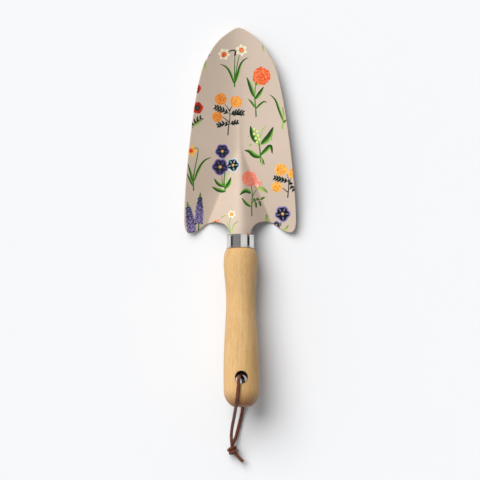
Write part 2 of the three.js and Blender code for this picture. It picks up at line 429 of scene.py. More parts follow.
@dataclass
class Effects:
    """The effects that more than one finish uses, each a node group."""

    mottle: NodeTree = field(init=False)
    scratches: NodeTree = field(init=False)
    edge_wear: NodeTree = field(init=False)

    def __post_init__(self) -> None:
        """Builds the groups once."""
        self.mottle = self._mottle()
        self.scratches = self._scratches()
        self.edge_wear = self._edge_wear()

    @staticmethod
    def _mottle() -> NodeTree:
        """Makes slow, cloudy variation at two sizes at once.

        Returns:
            The group.
        """
        tree, bench, into, out = shared_effect(
            "cloudy_mottle",
            [("Vector", "Vector", 0), ("Scale", "Float", 60), ("Low", "Float", 0.9),
             ("High", "Float", 1.1)],
            ["Value"],
        )
        vector, scale, low, high = into.outputs[:4]
        wide = bench.noise(vector, scale, 3.0, 0.55)
        fine = bench.noise(vector, bench.times(scale, 6.5), 2.0, 0.6)
        both = bench.add(bench.times(wide, 0.7), bench.times(fine, 0.3))
        spread = bench.node("MapRange", {0: both, 1: 0.3, 2: 0.7, 3: low, 4: high})
        tree.links.new(spread.outputs[0], out.inputs["Value"])
        return tree

    @staticmethod
    def _scratches() -> NodeTree:
        """Makes fine straight scratches that run across the vector's X axis.

        Returns:
            The group.
        """
        tree, bench, into, out = shared_effect(
            "fine_scratches",
            [("Vector", "Vector", 0), ("Density", "Float", 900), ("Length", "Float", 0.03),
             ("Amount", "Float", 0.5)],
            ["Mask"],
        )
        vector, density, length, amount = into.outputs[:4]
        across, along, up = bench.parts(vector)
        shrunk = {0: across, 1: bench.times(along, length), 2: bench.times(up, length)}
        stretched = bench.node("CombineXYZ", shrunk)
        lines = bench.noise(stretched.outputs[0], density, 3.0, 0.7)
        patchy = bench.range(bench.noise(vector, 55.0, 1.0), 0.42, 0.62)
        mask = bench.times(bench.range(lines, 0.56, 0.7), patchy)
        tree.links.new(bench.times(mask, amount), out.inputs["Mask"])
        return tree

    @staticmethod
    def _edge_wear() -> NodeTree:
        """Makes a broken mask along edges, from how near an edge a place is.

        Returns:
            The group.
        """
        tree, bench, into, out = shared_effect(
            "edge_wear",
            [("Vector", "Vector", 0), ("Near", "Float", 0), ("Scale", "Float", 400),
             ("Amount", "Float", 0.5)],
            ["Mask"],
        )
        vector, near, scale, amount = into.outputs[:4]
        broken = bench.noise(vector, scale, 3.0, 0.65)
        level = bench.add(near, bench.times(bench.less(broken, 0.5), 1.3))
        tree.links.new(bench.times(bench.range(level, 0.72, 1.0), amount), out.inputs["Mask"])
        return tree


# ---------- finishes ----------


def new_finish(name: str) -> tuple[Material, Bench, Node, Socket]:
    """Starts a material.

    Args:
        name: the material's name.

    Returns:
        The material, its bench, its Principled shader and its Object coordinates.
    """
    material = bpy.data.materials.new(name)
    material.use_nodes = True
    bench = Bench(material.node_tree)
    shader = material.node_tree.nodes["Principled BSDF"]
    coordinates = bench.node("TexCoord", {}).outputs["Object"]
    return material, bench, shader, coordinates


def attach(bench: Bench, shader: Node, **sockets: object) -> None:
    """Links or sets the shader's inputs.

    Args:
        bench: the material's bench.
        shader: its Principled shader.
        **sockets: input names, with _ for a space, and their values.
    """
    for name, value in sockets.items():
        bench.put(shader.inputs[name.replace("_", " ")], value)


def bumped(bench: Bench, height: Socket, distance: float, below: Socket | None = None) -> Socket:
    """Turns a height into a normal.

    Args:
        bench: the material's bench.
        height: the height, 0 to 1.
        distance: what a height of 1 stands for, in metres.
        below: a normal that this bump goes on top of.

    Returns:
        The normal.
    """
    sockets = {"Height": height, "Distance": distance, "Strength": 1.0}
    if below is not None:
        sockets["Normal"] = below
    return bench.node("Bump", sockets).outputs[0]


@dataclass(frozen=True)
class PrintedLacquer:
    """Satin cream lacquer, with the garden print where the piece carries ink."""

    cream: Colour = srgb(192, 174, 158)
    worn: Colour = srgb(168, 150, 134)
    roughness: float = 0.48
    unevenness: float = 0.035
    ink_edge: float = 0.10
    ink_height: float = 0.000012
    peel_scale: float = 620.0
    scratch_depth: float = 0.000004

    def build(self, effects: Effects) -> Material:
        """Makes the material.

        Args:
            effects: the shared effects.

        Returns:
            The material.
        """
        material, bench, shader, place = new_finish("printed_lacquer")
        ragged = bench.times(bench.less(bench.noise(place, 2600.0, 1.0), 0.5), 0.12)
        reach = bench.add(bench.attribute("ink_reach"), ragged)
        inked = bench.range(reach, -self.ink_edge, self.ink_edge)
        cloud = bench.effect(effects.mottle, place, Scale=38.0, Low=0.97, High=1.02)
        wash = bench.range(bench.noise(place, 1900.0, 2.0, 0.6), 0.3, 0.7, (0.9, 1.08))
        ink = bench.shaded(bench.attribute("ink_colour", "Color"), wash)
        colour = bench.mix(inked, bench.shaded(self.cream, cloud), ink)
        near = bench.attribute("rim_near")
        wear = bench.effect(effects.edge_wear, place, Near=near, Scale=520.0, Amount=0.55)
        colour = bench.mix(wear, colour, self.worn)
        slanted = bench.placed(place, (0.0, 0.0, 0.6))
        scratch = bench.effect(effects.scratches, slanted, Density=1500.0, Length=0.02, Amount=0.35)
        low, high = self.roughness - self.unevenness, self.roughness + self.unevenness
        rough = bench.effect(effects.mottle, place, Scale=90.0, Low=low, High=high)
        rough = bench.add(bench.add(rough, bench.times(inked, 0.05)), bench.times(scratch, 0.1))
        normal = bumped(bench, bench.noise(place, self.peel_scale), self.ink_height)
        normal = bumped(bench, inked, self.ink_height, normal)
        normal = bumped(bench, scratch, -self.scratch_depth, normal)
        attach(bench, shader, Base_Color=colour, Roughness=rough, Normal=normal,
               Coat_Weight=0.05, Coat_Roughness=0.3, Specular_IOR_Level=0.3)
        return material


@dataclass(frozen=True)
class WeldedSteel:
    """Lacquered rod steel: darker than the blade, a little rough where it was welded."""

    coat: Colour = srgb(206, 193, 180)
    burnt: Colour = srgb(120, 104, 90)

    def build(self, effects: Effects) -> Material:
        """Makes the material.

        Args:
            effects: the shared effects.

        Returns:
            The material.
        """
        material, bench, shader, place = new_finish("welded_steel")
        cloud = bench.effect(effects.mottle, place, Scale=240.0, Low=0.0, High=1.0)
        heat = bench.times(bench.attribute("heat"), bench.range(cloud, 0.2, 0.9))
        colour = bench.mix(bench.range(cloud, 0.5, 1.0, (0.0, 0.25)), self.coat, self.burnt)
        colour = bench.mix(heat, colour, self.burnt)
        scratch = bench.effect(effects.scratches, place, Density=1200.0, Length=0.05, Amount=0.6)
        rough = bench.add(bench.range(cloud, 0.0, 1.0, (0.38, 0.56)), bench.times(scratch, 0.15))
        normal = bumped(bench, bench.noise(place, 900.0, 3.0, 0.6), 0.00005)
        normal = bumped(bench, scratch, -0.00001, normal)
        attach(bench, shader, Base_Color=colour, Roughness=rough, Normal=normal, Metallic=0.35)
        return material


@dataclass(frozen=True)
class ChromePlate:
    """Bright plate over a rolled steel ring, with hairline scratches round it."""

    plate: Colour = srgb(224, 223, 222)
    rubbed: Colour = srgb(188, 184, 178)
    scratch_depth: float = 0.000004
    dent_scale: float = 260.0
    dent_depth: float = 0.00003

    def build(self, effects: Effects) -> Material:
        """Makes the material.

        Args:
            effects: the shared effects.

        Returns:
            The material.
        """
        material, bench, shader, place = new_finish("chrome_plate")
        sideways = bench.placed(place, (0.0, 0.0, math.pi / 2))
        scratch = bench.effect(effects.scratches, sideways, Density=2600.0, Length=0.05, Amount=0.9)
        cloud = bench.effect(effects.mottle, place, Scale=160.0, Low=0.0, High=1.0)
        near = bench.attribute("rim_near")
        wear = bench.effect(effects.edge_wear, place, Near=near, Scale=700.0, Amount=0.5)
        colour = bench.mix(bench.times(cloud, 0.25), self.plate, self.rubbed)
        colour = bench.mix(wear, colour, self.rubbed)
        rough = bench.add(bench.range(cloud, 0.0, 1.0, (0.09, 0.17)), bench.times(scratch, 0.12))
        rough = bench.add(rough, bench.times(wear, 0.2))
        normal = bumped(bench, scratch, -self.scratch_depth)
        normal = bumped(bench, bench.noise(place, self.dent_scale, 1.0), self.dent_depth, normal)
        attach(bench, shader, Base_Color=colour, Roughness=rough, Normal=normal, Metallic=1.0)
        return material


@dataclass(frozen=True)
class TurnedWood:
    """Pale close-grained hardwood, oiled, with its grain along the handle."""

    pale: Colour = srgb(205, 172, 124)
    warm: Colour = srgb(184, 139, 78)
    # Colour of pores and flecks, also used for painted shade on the butt's rounding.
    pore_and_butt_shade: Colour = srgb(146, 92, 46)
    oiled: Colour = srgb(172, 124, 70)
    # Near-black painted shade for the inside of the hanging hole.
    hole_shade: Colour = srgb(40, 24, 14)
    ring_scale: float = 2300.0
    fibre_scale: float = 1500.0
    pore_scale: float = 3600.0
    fleck_scale: float = 2300.0
    fibre_height: float = 0.00003
    pore_depth: float = 0.00005
    tilt: float = 0.0

    def build(self, effects: Effects) -> Material:
        """Makes the material.

        Args:
            effects: the shared effects.

        Returns:
            The material.
        """
        material, bench, shader, place = new_finish("turned_wood")
        along = bench.placed(place, (self.tilt, 0.0, 0.0))
        long_grain, slow, short, sides = (
            bench.placed(vector, size=(1.0, stretch, 1.0))
            for vector, stretch in ((along, 0.035), (along, 0.12), (along, 0.3), (place, 0.25))
        )
        aside, _, up = bench.parts(along)
        across = bench.add(bench.times(aside, 0.8), bench.times(up, 0.6))
        drift = bench.times(bench.noise(slow, 70.0, 2.0, 0.5), 15.0)
        wave = bench.maths("SINE", bench.add(bench.times(across, self.ring_scale), drift))
        ring = bench.range(wave, -1.0, 1.0)
        fibre = bench.noise(long_grain, self.fibre_scale, 4.0, 0.65)
        pores = bench.range(bench.noise(long_grain, self.pore_scale, 2.0, 0.6), 0.60, 0.72)
        flecks = bench.range(bench.noise(short, self.fleck_scale, 1.0), 0.64, 0.72)
        cloud = bench.effect(effects.mottle, slow, Scale=45.0, Low=0.0, High=1.0)
        streak = bench.range(bench.noise(sides, 150.0, 3.0, 0.6), 0.48, 0.68)
        handled, shaded_hole_wall = bench.attribute("handled"), bench.attribute("shaded_hole_wall")
        colour = self.pale
        for share, stain in (
            (bench.times(ring, 0.22), self.warm),
            (bench.range(fibre, 0.35, 0.75, (0.0, 0.5)), self.warm),
            (bench.times(cloud, 0.5), self.warm),
            (bench.times(pores, 0.34), self.pore_and_butt_shade),
            (bench.times(flecks, 0.42), self.pore_and_butt_shade),
            (bench.times(streak, 0.3), self.oiled),
            (bench.effect(effects.edge_wear, place, Near=handled, Scale=230.0, Amount=0.5), self.oiled),
            # Painted shade: the hanging hole's wall is made near black.
            (bench.times(shaded_hole_wall, 0.92), self.hole_shade),
            # Darker towards the butt: painted shade on the butt's rounding, and partly darker end grain.
            (bench.attribute("end_grain_and_butt_shade"), self.pore_and_butt_shade),
        ):
            colour = bench.mix(share, colour, stain)
        rough = bench.add(bench.range(fibre, 0.2, 0.8, (0.40, 0.56)), bench.times(pores, 0.12))
        rough = bench.add(rough, bench.times(shaded_hole_wall, 0.5))
        coat = bench.times(bench.less(1.0, shaded_hole_wall), 0.08)
        normal = bumped(bench, fibre, self.fibre_height)
        normal = bumped(bench, pores, -self.pore_depth, normal)
        attach(bench, shader, Base_Color=colour, Roughness=rough, Normal=normal,
               Coat_Weight=coat, Coat_Roughness=0.35, Specular_IOR_Level=0.3)
        return material


@dataclass(frozen=True)
class CutLeather:
    """Waxed brown lace, cut square, its corners rubbed lighter."""

    hide: Colour = srgb(130, 68, 44)
    deep: Colour = srgb(72, 34, 24)
    rubbed: Colour = srgb(172, 108, 74)
    grain_scale: float = 2400.0
    grain_depth: float = 0.00008
    fibre_height: float = 0.00012

    def build(self, effects: Effects) -> Material:
        """Makes the material.

        Args:
            effects: the shared effects.

        Returns:
            The material.
        """
        material, bench, shader, place = new_finish("cut_leather")
        cloud = bench.effect(effects.mottle, place, Scale=300.0, Low=0.0, High=1.0)
        run, turn = bench.attribute("lace_run"), bench.attribute("lace_round")
        unrolled = bench.node("CombineXYZ", {0: run, 1: turn, 2: 0.0}).outputs[0]
        fibres = bench.noise(bench.placed(unrolled, size=(0.12, 1.0, 1.0)), 3.2, 3.0, 0.7)
        grain = {"Vector": place, "Scale": self.grain_scale}
        cells = bench.node("TexVoronoi", grain, feature="DISTANCE_TO_EDGE")
        pores = bench.range(cells.outputs[0], 0.0, 0.18, (1.0, 0.0))
        corner = bench.attribute("corner")
        colour = self.hide
        for share, stain in (
            (bench.range(cloud, 0.2, 0.8, (0.0, 0.75)), self.deep),
            (bench.times(bench.attribute("cut_side"), 0.45), self.deep),
            (bench.range(fibres, 0.5, 0.8, (0.0, 0.4)), self.rubbed),
            (bench.effect(effects.edge_wear, place, Near=corner, Scale=1500.0, Amount=0.7), self.rubbed),
            (bench.times(pores, 0.35), self.deep),
        ):
            colour = bench.mix(share, colour, stain)
        rough = bench.add(bench.range(cloud, 0.0, 1.0, (0.42, 0.6)), bench.times(pores, 0.12))
        normal = bumped(bench, pores, -self.grain_depth)
        normal = bumped(bench, fibres, self.fibre_height, normal)
        attach(bench, shader, Base_Color=colour, Roughness=rough, Normal=normal,
               Coat_Weight=0.12, Coat_Roughness=0.4, Specular_IOR_Level=0.45)
        return material


@dataclass(frozen=True)
class StudioPaper:
    """Matt white paper under the object."""

    white: Colour = (0.765, 0.773, 0.788)

    def build(self, effects: Effects) -> Material:
        """Makes the material.

        Args:
            effects: the shared effects.

        Returns:
            The material.
        """
        material, bench, shader, place = new_finish("studio_paper")
        cloud = bench.effect(effects.mottle, place, Scale=5.0, Low=0.995, High=1.005)
        colour = bench.shaded(self.white, cloud)
        attach(bench, shader, Base_Color=colour, Roughness=0.9, Specular_IOR_Level=0.1)
        return material


# ---------- the print ----------


class Ink(Enum):
    """Inks of the print, as linear colours."""

    LEAF_DARK = srgb(4, 36, 16)
    LEAF = srgb(50, 106, 28)
    LEAF_LIGHT = srgb(128, 178, 70)
    LEAF_PALE = srgb(172, 192, 108)
    TEAL = srgb(0, 24, 18)
    LEAF_DEEP = srgb(38, 92, 26)
    OCHRE = srgb(214, 118, 48)
    PEACH = srgb(236, 150, 112)
    STALK = srgb(70, 104, 58)
    CREAM = srgb(240, 232, 200)
    LEMON = srgb(236, 222, 160)
    PALE = srgb(206, 208, 180)
    YELLOW = srgb(240, 186, 80)
    AMBER = srgb(232, 158, 70)
    RUST = srgb(186, 84, 30)
    ORANGE = srgb(226, 108, 48)
    SCARLET = srgb(204, 58, 26)
    RED = srgb(168, 36, 22)
    CORAL = srgb(214, 112, 92)
    BLUSH = srgb(232, 150, 134)
    MIDNIGHT = srgb(8, 18, 30)
    VIOLET = srgb(100, 88, 150)
    LILAC = srgb(146, 134, 182)
    MIST = srgb(178, 200, 214)
    SOOT = srgb(20, 26, 24)


class Form(Enum):
    """How a ribbon of ink swells along its length."""

    STALK = "stalk"
    LANCE = "lance"
    ROUND = "round"


def swell(form: Form, share: np.ndarray) -> np.ndarray:
    """Gives a ribbon's half width along its length, as a share of its widest.

    Args:
        form: how it swells.
        share: places along the ribbon, 0 to 1.

    Returns:
        The half widths.
    """
    if form is Form.STALK:
        return 1.0 - 0.45 * share
    if form is Form.LANCE:
        return np.sin(np.pi * np.clip(share, 0.001, 1.0) ** 0.75) ** 0.8
    return np.sqrt(np.clip(1.0 - (2.0 * share**0.85 - 1.0) ** 2, 0.0, 1.0))


# Rings of a double flower: distance from its centre, number of ruffles, and their radius.
POMPON_RINGS = ((0.78, 13, 0.27), (0.62, 12, 0.26), (0.42, 9, 0.25), (0.2, 5, 0.24), (0.0, 1, 0.2))
# Petals of a violet: direction, length and width, the broad lowest one last.
PANSY_PETALS = ((2.65, 1.0, 1.1), (3.63, 1.0, 1.1), (1.45, 0.98, 1.1), (4.83, 0.98, 1.1), (0.0, 1.0, 1.25))
FLECKS_PER_MM = 7
FLECK_WIDTH = 0.55
LEAFLET_WIDTH = 1.5
FLORET_ROW = 1.7


def around(middle: Point, angle: float, away: float) -> Point:
    """Gives the place at some distance from a point; angle 0 faces the butt, in radians."""
    return (middle[0] + math.sin(angle) * away, middle[1] + math.cos(angle) * away)


@dataclass
class InkPlate:
    """Lays ink over flat places, keeping each place's colour and how far inside the ink it is."""

    across: np.ndarray
    behind: np.ndarray
    blur: float = 0.22
    margin: float = 1.2
    far: float = -9.0
    colour: np.ndarray = field(init=False)
    reach: np.ndarray = field(init=False)
    random: np.random.Generator = field(init=False)

    def __post_init__(self) -> None:
        """Starts with no ink anywhere."""
        self.colour = np.tile(np.array(Ink.LEAF.value), (len(self.across), 1))
        self.reach = np.full(len(self.across), self.far)
        self.random = np.random.default_rng(20)

    def _near(self, line: np.ndarray, width: float) -> np.ndarray:
        """Gives the numbers of the places near a line.

        Args:
            line: its points, one row each.
            width: how far from it the ink may reach.

        Returns:
            The numbers.
        """
        low, high = line.min(0) - width - self.margin, line.max(0) + width + self.margin
        inside = (self.across > low[0]) & (self.across < high[0])
        return np.nonzero(inside & (self.behind > low[1]) & (self.behind < high[1]))[0]

    def lay(self, which: np.ndarray, inside: np.ndarray, colour: np.ndarray) -> None:
        """Prints one shape over what is there.

        Args:
            which: the places near it.
            inside: how far inside the shape each is, in millimetres.
            colour: its colour at each place.
        """
        over = self.reach[which] > 0
        cover = np.clip((inside + self.blur) / (2 * self.blur), 0, 1)
        cover = np.where(over, cover, inside > self.reach[which])[:, None]
        self.colour[which] += (colour - self.colour[which]) * cover
        self.reach[which] = np.maximum(self.reach[which], inside)

    def ribbon(
        self, line: Sequence[Point], width: float, first: Ink, last: Ink,
        form: Form = Form.LANCE, lit: Ink | None = None,
    ) -> None:
        """Prints a stalk, a leaf or a petal.

        Args:
            line: its middle line, from its base.
            width: its widest, in millimetres.
            first: colour at its base.
            last: colour at its end.
            form: how it swells.
            lit: colour of its lighter half, if it has one.
        """
        run = smooth_line(line, 5) if len(line) > 2 else even_line(np.array(line, float), 0.5)
        which = self._near(run, width)
        if not len(which):
            return
        start, step = run[:-1], np.diff(run, axis=0)
        size = np.maximum((step**2).sum(1), 1e-9)
        spot = np.stack([self.across[which], self.behind[which]], axis=1)[:, None] - start
        t = np.clip((spot * step).sum(2) / size, 0, 1)
        off = spot - t[:, :, None] * step
        distance = np.hypot(off[:, :, 0], off[:, :, 1])
        best = distance.argmin(1)
        rows = np.arange(len(which))
        lengths = np.concatenate([[0], np.cumsum(np.sqrt(size))])
        share = (lengths[best] + t[rows, best] * np.sqrt(size)[best]) / lengths[-1]
        distance = distance[rows, best]
        side = np.sign(step[best, 0] * off[rows, best, 1] - step[best, 1] * off[rows, best, 0])
        half = width / 2 * swell(form, share)
        colour = np.array(first.value) + (np.array(last.value) - np.array(first.value)) * share[:, None]
        if lit is not None:
            rib = np.clip((side * distance / max(width / 2, 1e-6)) * 2.2 - 0.1, 0, 1)[:, None]
            colour = colour + (np.array(lit.value) - colour) * rib * 0.8
        self.lay(which, half - distance, colour)

    def spot(self, middle: Point, radius: float, core: Ink, rim: Ink | None = None) -> None:
        """Prints a round spot.

        Args:
            middle: its centre.
            radius: its radius.
            core: its colour.
            rim: its colour at the edge, if that differs.
        """
        which = self._near(np.array([middle], float), radius)
        if not len(which):
            return
        away = np.hypot(self.across[which] - middle[0], self.behind[which] - middle[1])
        share = np.clip(away / radius * 1.6 - 0.6, 0, 1)[:, None]
        edge = np.array((rim or core).value)
        self.lay(which, radius - away, np.array(core.value) * (1 - share) + edge * share)

    def whorl(
        self, middle: Point, radius: float, count: int, width: float, inks: tuple[Ink, Ink],
        turn: float = 0.0, form: Form = Form.ROUND,
    ) -> None:
        """Prints a ring of petals.

        Args:
            middle: the flower's centre.
            radius: the petals' length from the centre.
            count: how many petals.
            width: their width.
            inks: colours at the centre and at the tip.
            turn: direction of the first petal, in radians.
            form: their outline.
        """
        for number in range(count):
            tip = around(middle, turn + math.tau * number / count, radius)
            self.ribbon([middle, tip], width, *inks, form)

    def pompon(self, middle: Point, radius: float, light: Ink, dark: Ink, fleck: Ink) -> None:
        """Prints a ruffled double flower, such as a marigold.

        Args:
            middle: its centre.
            radius: its radius.
            light: one colour of its ruffles.
            dark: the other.
            fleck: colour of the short strokes on them.
        """
        for share, count, size in POMPON_RINGS:
            turn = self.random.uniform(0, math.tau)
            for number in range(count):
                away = radius * share * self.random.uniform(0.92, 1.08)
                at = around(middle, turn + math.tau * number / count, away)
                inks = (light, dark) if self.random.uniform() < 0.5 else (dark, light)
                self.spot(at, radius * size, *inks)
        for _ in range(int(radius * FLECKS_PER_MM)):
            angle = self.random.uniform(0, math.tau)
            at = around(middle, angle, radius * 0.92 * self.random.uniform() ** 0.5)
            slant = math.pi / 2 + angle + self.random.uniform(-0.7, 0.7)
            self.ribbon([at, around(at, slant, radius * 0.2)], FLECK_WIDTH, fleck, fleck)

    def pansy(self, middle: Point, radius: float, edge: Ink, face: Ink, tilt: float = 0.0) -> None:
        """Prints a five-petalled violet with a dark face and a small warm eye.

        Args:
            middle: its centre.
            radius: its petals' length.
            edge: colour of their edges and veins.
            face: colour of their middles.
            tilt: how far the whole flower is turned, in radians.
        """
        for part, wide, ink in ((1.0, 1.0, edge), (0.86, 0.78, face)):
            for turn, length, width in PANSY_PETALS:
                base = around(middle, turn + tilt, -radius * 0.06)
                tip = around(middle, turn + tilt, radius * length * part)
                self.ribbon([base, tip], radius * width * wide, ink, ink, Form.ROUND)
        for turn, _, _ in PANSY_PETALS:
            vein = [around(middle, turn + tilt, radius * share) for share in (0.34, 0.78)]
            self.ribbon(vein, radius * 0.1, edge, edge)
        self.spot(middle, radius * 0.26, Ink.SOOT)
        self.spot(middle, radius * 0.16, Ink.ORANGE, Ink.LEMON)

    def fern(self, line: Sequence[Point], reach: float, pairs: int) -> None:
        """Prints a feathered leaf.

        Args:
            line: its rib, from its base.
            reach: length of its leaflets.
            pairs: how many pairs.
        """
        run = even_line(smooth_line(line, 6), 0.3)
        self.ribbon(line, 0.8, Ink.TEAL, Ink.TEAL, Form.STALK)
        for number in range(pairs):
            share = (number + 0.6) / pairs
            index = min(int(share * (len(run) - 1)), len(run) - 2)
            ahead = run[index + 1] - run[index]
            ahead = ahead / np.linalg.norm(ahead)
            size = reach * (0.65 + 0.35 * math.sin(math.pi * share))
            for hand in (-1, 1):
                aim = ahead * 0.78 + hand * np.array((-ahead[1], ahead[0])) * 0.72
                leaflet = [tuple(run[index]), tuple(run[index] + aim * size)]
                self.ribbon(leaflet, LEAFLET_WIDTH, Ink.TEAL, Ink.TEAL)

    def leaves(self, *strokes: Stroke, light: bool = False) -> None:
        """Prints leaves with one lighter half.

        Args:
            *strokes: each leaf's width and its middle line, from its base.
            light: young leaves, paler all over.
        """
        base, tip, lit = Ink.LEAF_DEEP, Ink.LEAF_DARK, Ink.LEAF_LIGHT
        if light:
            base, tip, lit = Ink.LEAF_PALE, Ink.LEAF, Ink.LEAF_PALE
        for width, *line in strokes:
            self.ribbon(line, width, base, tip, Form.LANCE, lit)

    def stalks(self, *strokes: Stroke, ink: Ink = Ink.STALK) -> None:
        """Prints stalks.

        Args:
            *strokes: each stalk's width and its middle line, from its base.
            ink: their colour.
        """
        for width, *line in strokes:
            self.ribbon(line, width, ink, ink, Form.STALK)

    def spike(self, top: Point, foot: Point, width: float) -> None:
        """Prints a spike of small violet florets, green at its tip.

        Args:
            top: its tip.
            foot: where its florets end.
            width: its widest.
        """
        top_at, run = np.array(top), np.array(foot) - np.array(top)
        length = np.linalg.norm(run)
        aside = np.array((-run[1], run[0])) / length
        self.stalks((0.7, top, foot))
        rows = int(length / FLORET_ROW)
        for row in range(rows):
            share = (row + 0.5) / rows
            half = width / 2 * min(1.0, 0.12 + 1.6 * share)
            if row < 2:
                self.spot(tuple(top_at + run * share), 0.8 + 0.3 * row, Ink.TEAL, Ink.LEAF_LIGHT)
                continue
            for places_across, size, inks in (
                ((-0.8, 0.0, 0.8), 0.98 + 0.25 * share, (Ink.LILAC, Ink.VIOLET)),
                ((-0.6, 0.5) if row % 2 else (-0.85, 0.0, 0.85), 1.3 - 0.6 * share, (Ink.TEAL, Ink.TEAL)),
            ):
                for place in places_across:
                    drift = self.random.uniform(-0.3, 0.3)
                    lower = 0.5 * abs(place) + (0.6 if inks[0] is Ink.TEAL else 0.0) + drift
                    at = top_at + run * (share + lower / length) + aside * (half * 0.8 * place + drift)
                    self.spot(tuple(at), size, *inks)

    def narcissus(self, middle: Point, radius: float, petals: Ink, cup: Ink, aim: float) -> None:
        """Prints a six-petalled flower with a bright cup.

        Args:
            middle: its centre.
            radius: its petals' length.
            petals: their colour.
            cup: the cup's colour.
            aim: direction of the first petal, in radians.
        """
        self.whorl(middle, radius, 6, radius * 0.62, (petals, Ink.CREAM), aim, Form.LANCE)
        self.whorl(middle, radius * 0.9, 6, radius * 0.4, (petals, petals), aim + 0.52, Form.LANCE)
        self.whorl(middle, radius * 0.46, 8, radius * 0.26, (cup, cup), aim)
        self.spot(middle, radius * 0.3, cup, Ink.SCARLET)
        self.spot(middle, radius * 0.13, Ink.YELLOW)

    def poppy(self, middle: Point, radius: float) -> None:
        """Prints a broad red flower with a sooty middle.

        Args:
            middle: its centre.
            radius: its petals' length.
        """
        for number, ink in enumerate((Ink.RED, Ink.SCARLET, Ink.RED, Ink.SCARLET, Ink.SCARLET)):
            tip = around(middle, 0.4 + math.tau * number / 5, radius)
            self.ribbon([middle, tip], radius * 1.2, Ink.RED, ink, Form.ROUND)
        self.whorl(middle, radius * 0.68, 9, radius * 0.22, (Ink.SOOT, Ink.SOOT), 0.2)
        self.spot(middle, radius * 0.3, Ink.SOOT)
        self.whorl(middle, radius * 0.24, 5, 0.35, (Ink.STALK, Ink.STALK), 0.1)

    def garden(self) -> None:
        """Prints the whole garden, tip first."""
        # Narcissi under the tip.
        self.leaves(
            (2.2, (-4.0, 48.4), (-7.9, 37.3), (-11.8, 32.8), (-17.0, 30.9)),
            (2.3, (-4.0, 48.4), (-1.4, 41.2), (1.2, 32.1), (4.4, 27.6), (9.3, 25.3)),
        )
        self.stalks(
            (1.2, (-3.9, 50.1), (-3.8, 36.1), (-3.4, 23.4)),
            (1.1, (-3.4, 46.3), (-2.5, 38.7), (-1.1, 29.6), (0.8, 22.4)),
            ink=Ink.LEAF,
        )
        self.stalks((1.5, (-3.4, 23.4), (-3.0, 20.3), (-5.4, 19.3), (-9.3, 21.2)), ink=Ink.LEAF_DARK)
        self.narcissus((-12.6, 22.7), 5.3, Ink.PALE, Ink.ORANGE, 0.4)
        self.ribbon([(-10.7, 22.2), (-14.6, 25.0)], 3.2, Ink.ORANGE, Ink.SCARLET, Form.ROUND)
        self.narcissus((2.2, 19.3), 5.2, Ink.PALE, Ink.ORANGE, 0.1)
        # Red carnation.
        self.stalks(
            (1.2, (14.2, 75.7), (13.9, 68.6), (13.2, 60.8), (13.4, 54.0), (14.3, 48.5)), ink=Ink.LEAF
        )
        self.leaves(
            (3.6, (12.8, 59.5), (9.8, 50.6), (6.4, 41.9)),
            (3.3, (13.6, 61.2), (17.2, 56.5), (21.0, 50.3)),
            (1.9, (13.4, 68.3), (10.3, 63.3), (7.1, 60.4)),
            (2.0, (14.1, 69.3), (18.1, 65.3), (21.3, 63.3), (24.0, 64.3)),
        )
        self.stalks(
            (1.0, (14.3, 48.5), (11.9, 46.0)),
            (1.0, (14.6, 48.0), (17.7, 49.7)),
            ink=Ink.LEAF_LIGHT,
        )
        self.leaves((2.4, (14.1, 49.2), (16.0, 45.8)))
        self.pompon((19.1, 41.6), 7.4, Ink.SCARLET, Ink.ORANGE, Ink.PEACH)
        # Marigolds, left and right.
        self.marigolds((-9.9, 91.3), squat=False)
        self.marigolds((40.5, 144.7), squat=True)
        # Poppies cut by the left edge.
        self.poppy((-36.5, 51.7), 4.2)
        self.poppy((-35.6, 68.1), 5.0)
        self.fern([(-39.9, 85.1), (-36.8, 79.9), (-32.6, 76.6)], 4.2, 4)
        self.leaves((2.2, (-39.8, 84.6), (-34.7, 80.8), (-31.3, 76.6)), light=True)
        # Long leaves at the right edge.
        self.stalks((1.5, (36.5, 86.1), (37.1, 78.6)), ink=Ink.LEAF_LIGHT)
        self.leaves((2.2, (37.2, 80.3), (33.7, 69.9), (30.4, 61.4), (24.9, 56.5)))
        self.leaves((1.6, (37.9, 81.2), (37.6, 73.8), (36.5, 66.7)), light=True)
        self.leaves((2.0, (37.6, 81.6), (39.7, 78.6)))
        # Lily of the valley.
        self.leaves(
            (5.0, (16.5, 99.4), (11.6, 92.2), (9.2, 83.4)),
            (5.2, (18.1, 99.5), (24.6, 93.6), (28.8, 84.5)),
        )
        self.stalks(
            (1.3, (17.0, 104.1), (17.0, 96.5), (19.2, 88.0), (21.8, 84.1)),
            (1.1, (16.2, 100.7), (14.3, 93.9), (13.1, 85.9)),
            ink=Ink.LEAF_LIGHT,
        )
        for at in (
            (12.4, 86.3), (15.0, 88.3), (12.4, 90.5), (15.8, 91.9),
            (13.8, 94.4), (16.8, 95.3), (14.8, 97.7),
        ):
            self.spot(at, 1.25, Ink.LEMON, Ink.LEAF_LIGHT)
            self.spot(at, 0.4, Ink.CREAM)
        self.stalks((1.5, (18.0, 114.3), (17.5, 107.5), (16.8, 99.0)), ink=Ink.LEAF)
        self.leaves(
            (4.2, (17.7, 110.6), (12.6, 108.7), (8.3, 105.3), (3.8, 104.4)),
            (3.6, (17.8, 108.7), (21.9, 104.8), (26.0, 101.2), (27.9, 108.2)),
            (1.8, (17.8, 110.1), (19.9, 114.3), (21.1, 117.4)),
        )
        self.leaves(
            (1.4, (18.0, 110.9), (18.9, 114.8), (18.9, 118.1)),
            (1.7, (10.9, 98.7), (7.8, 100.6)),
            (1.3, (8.2, 91.9), (7.0, 93.1)),
            (1.5, (25.3, 94.3), (27.9, 96.0)),
            light=True,
        )
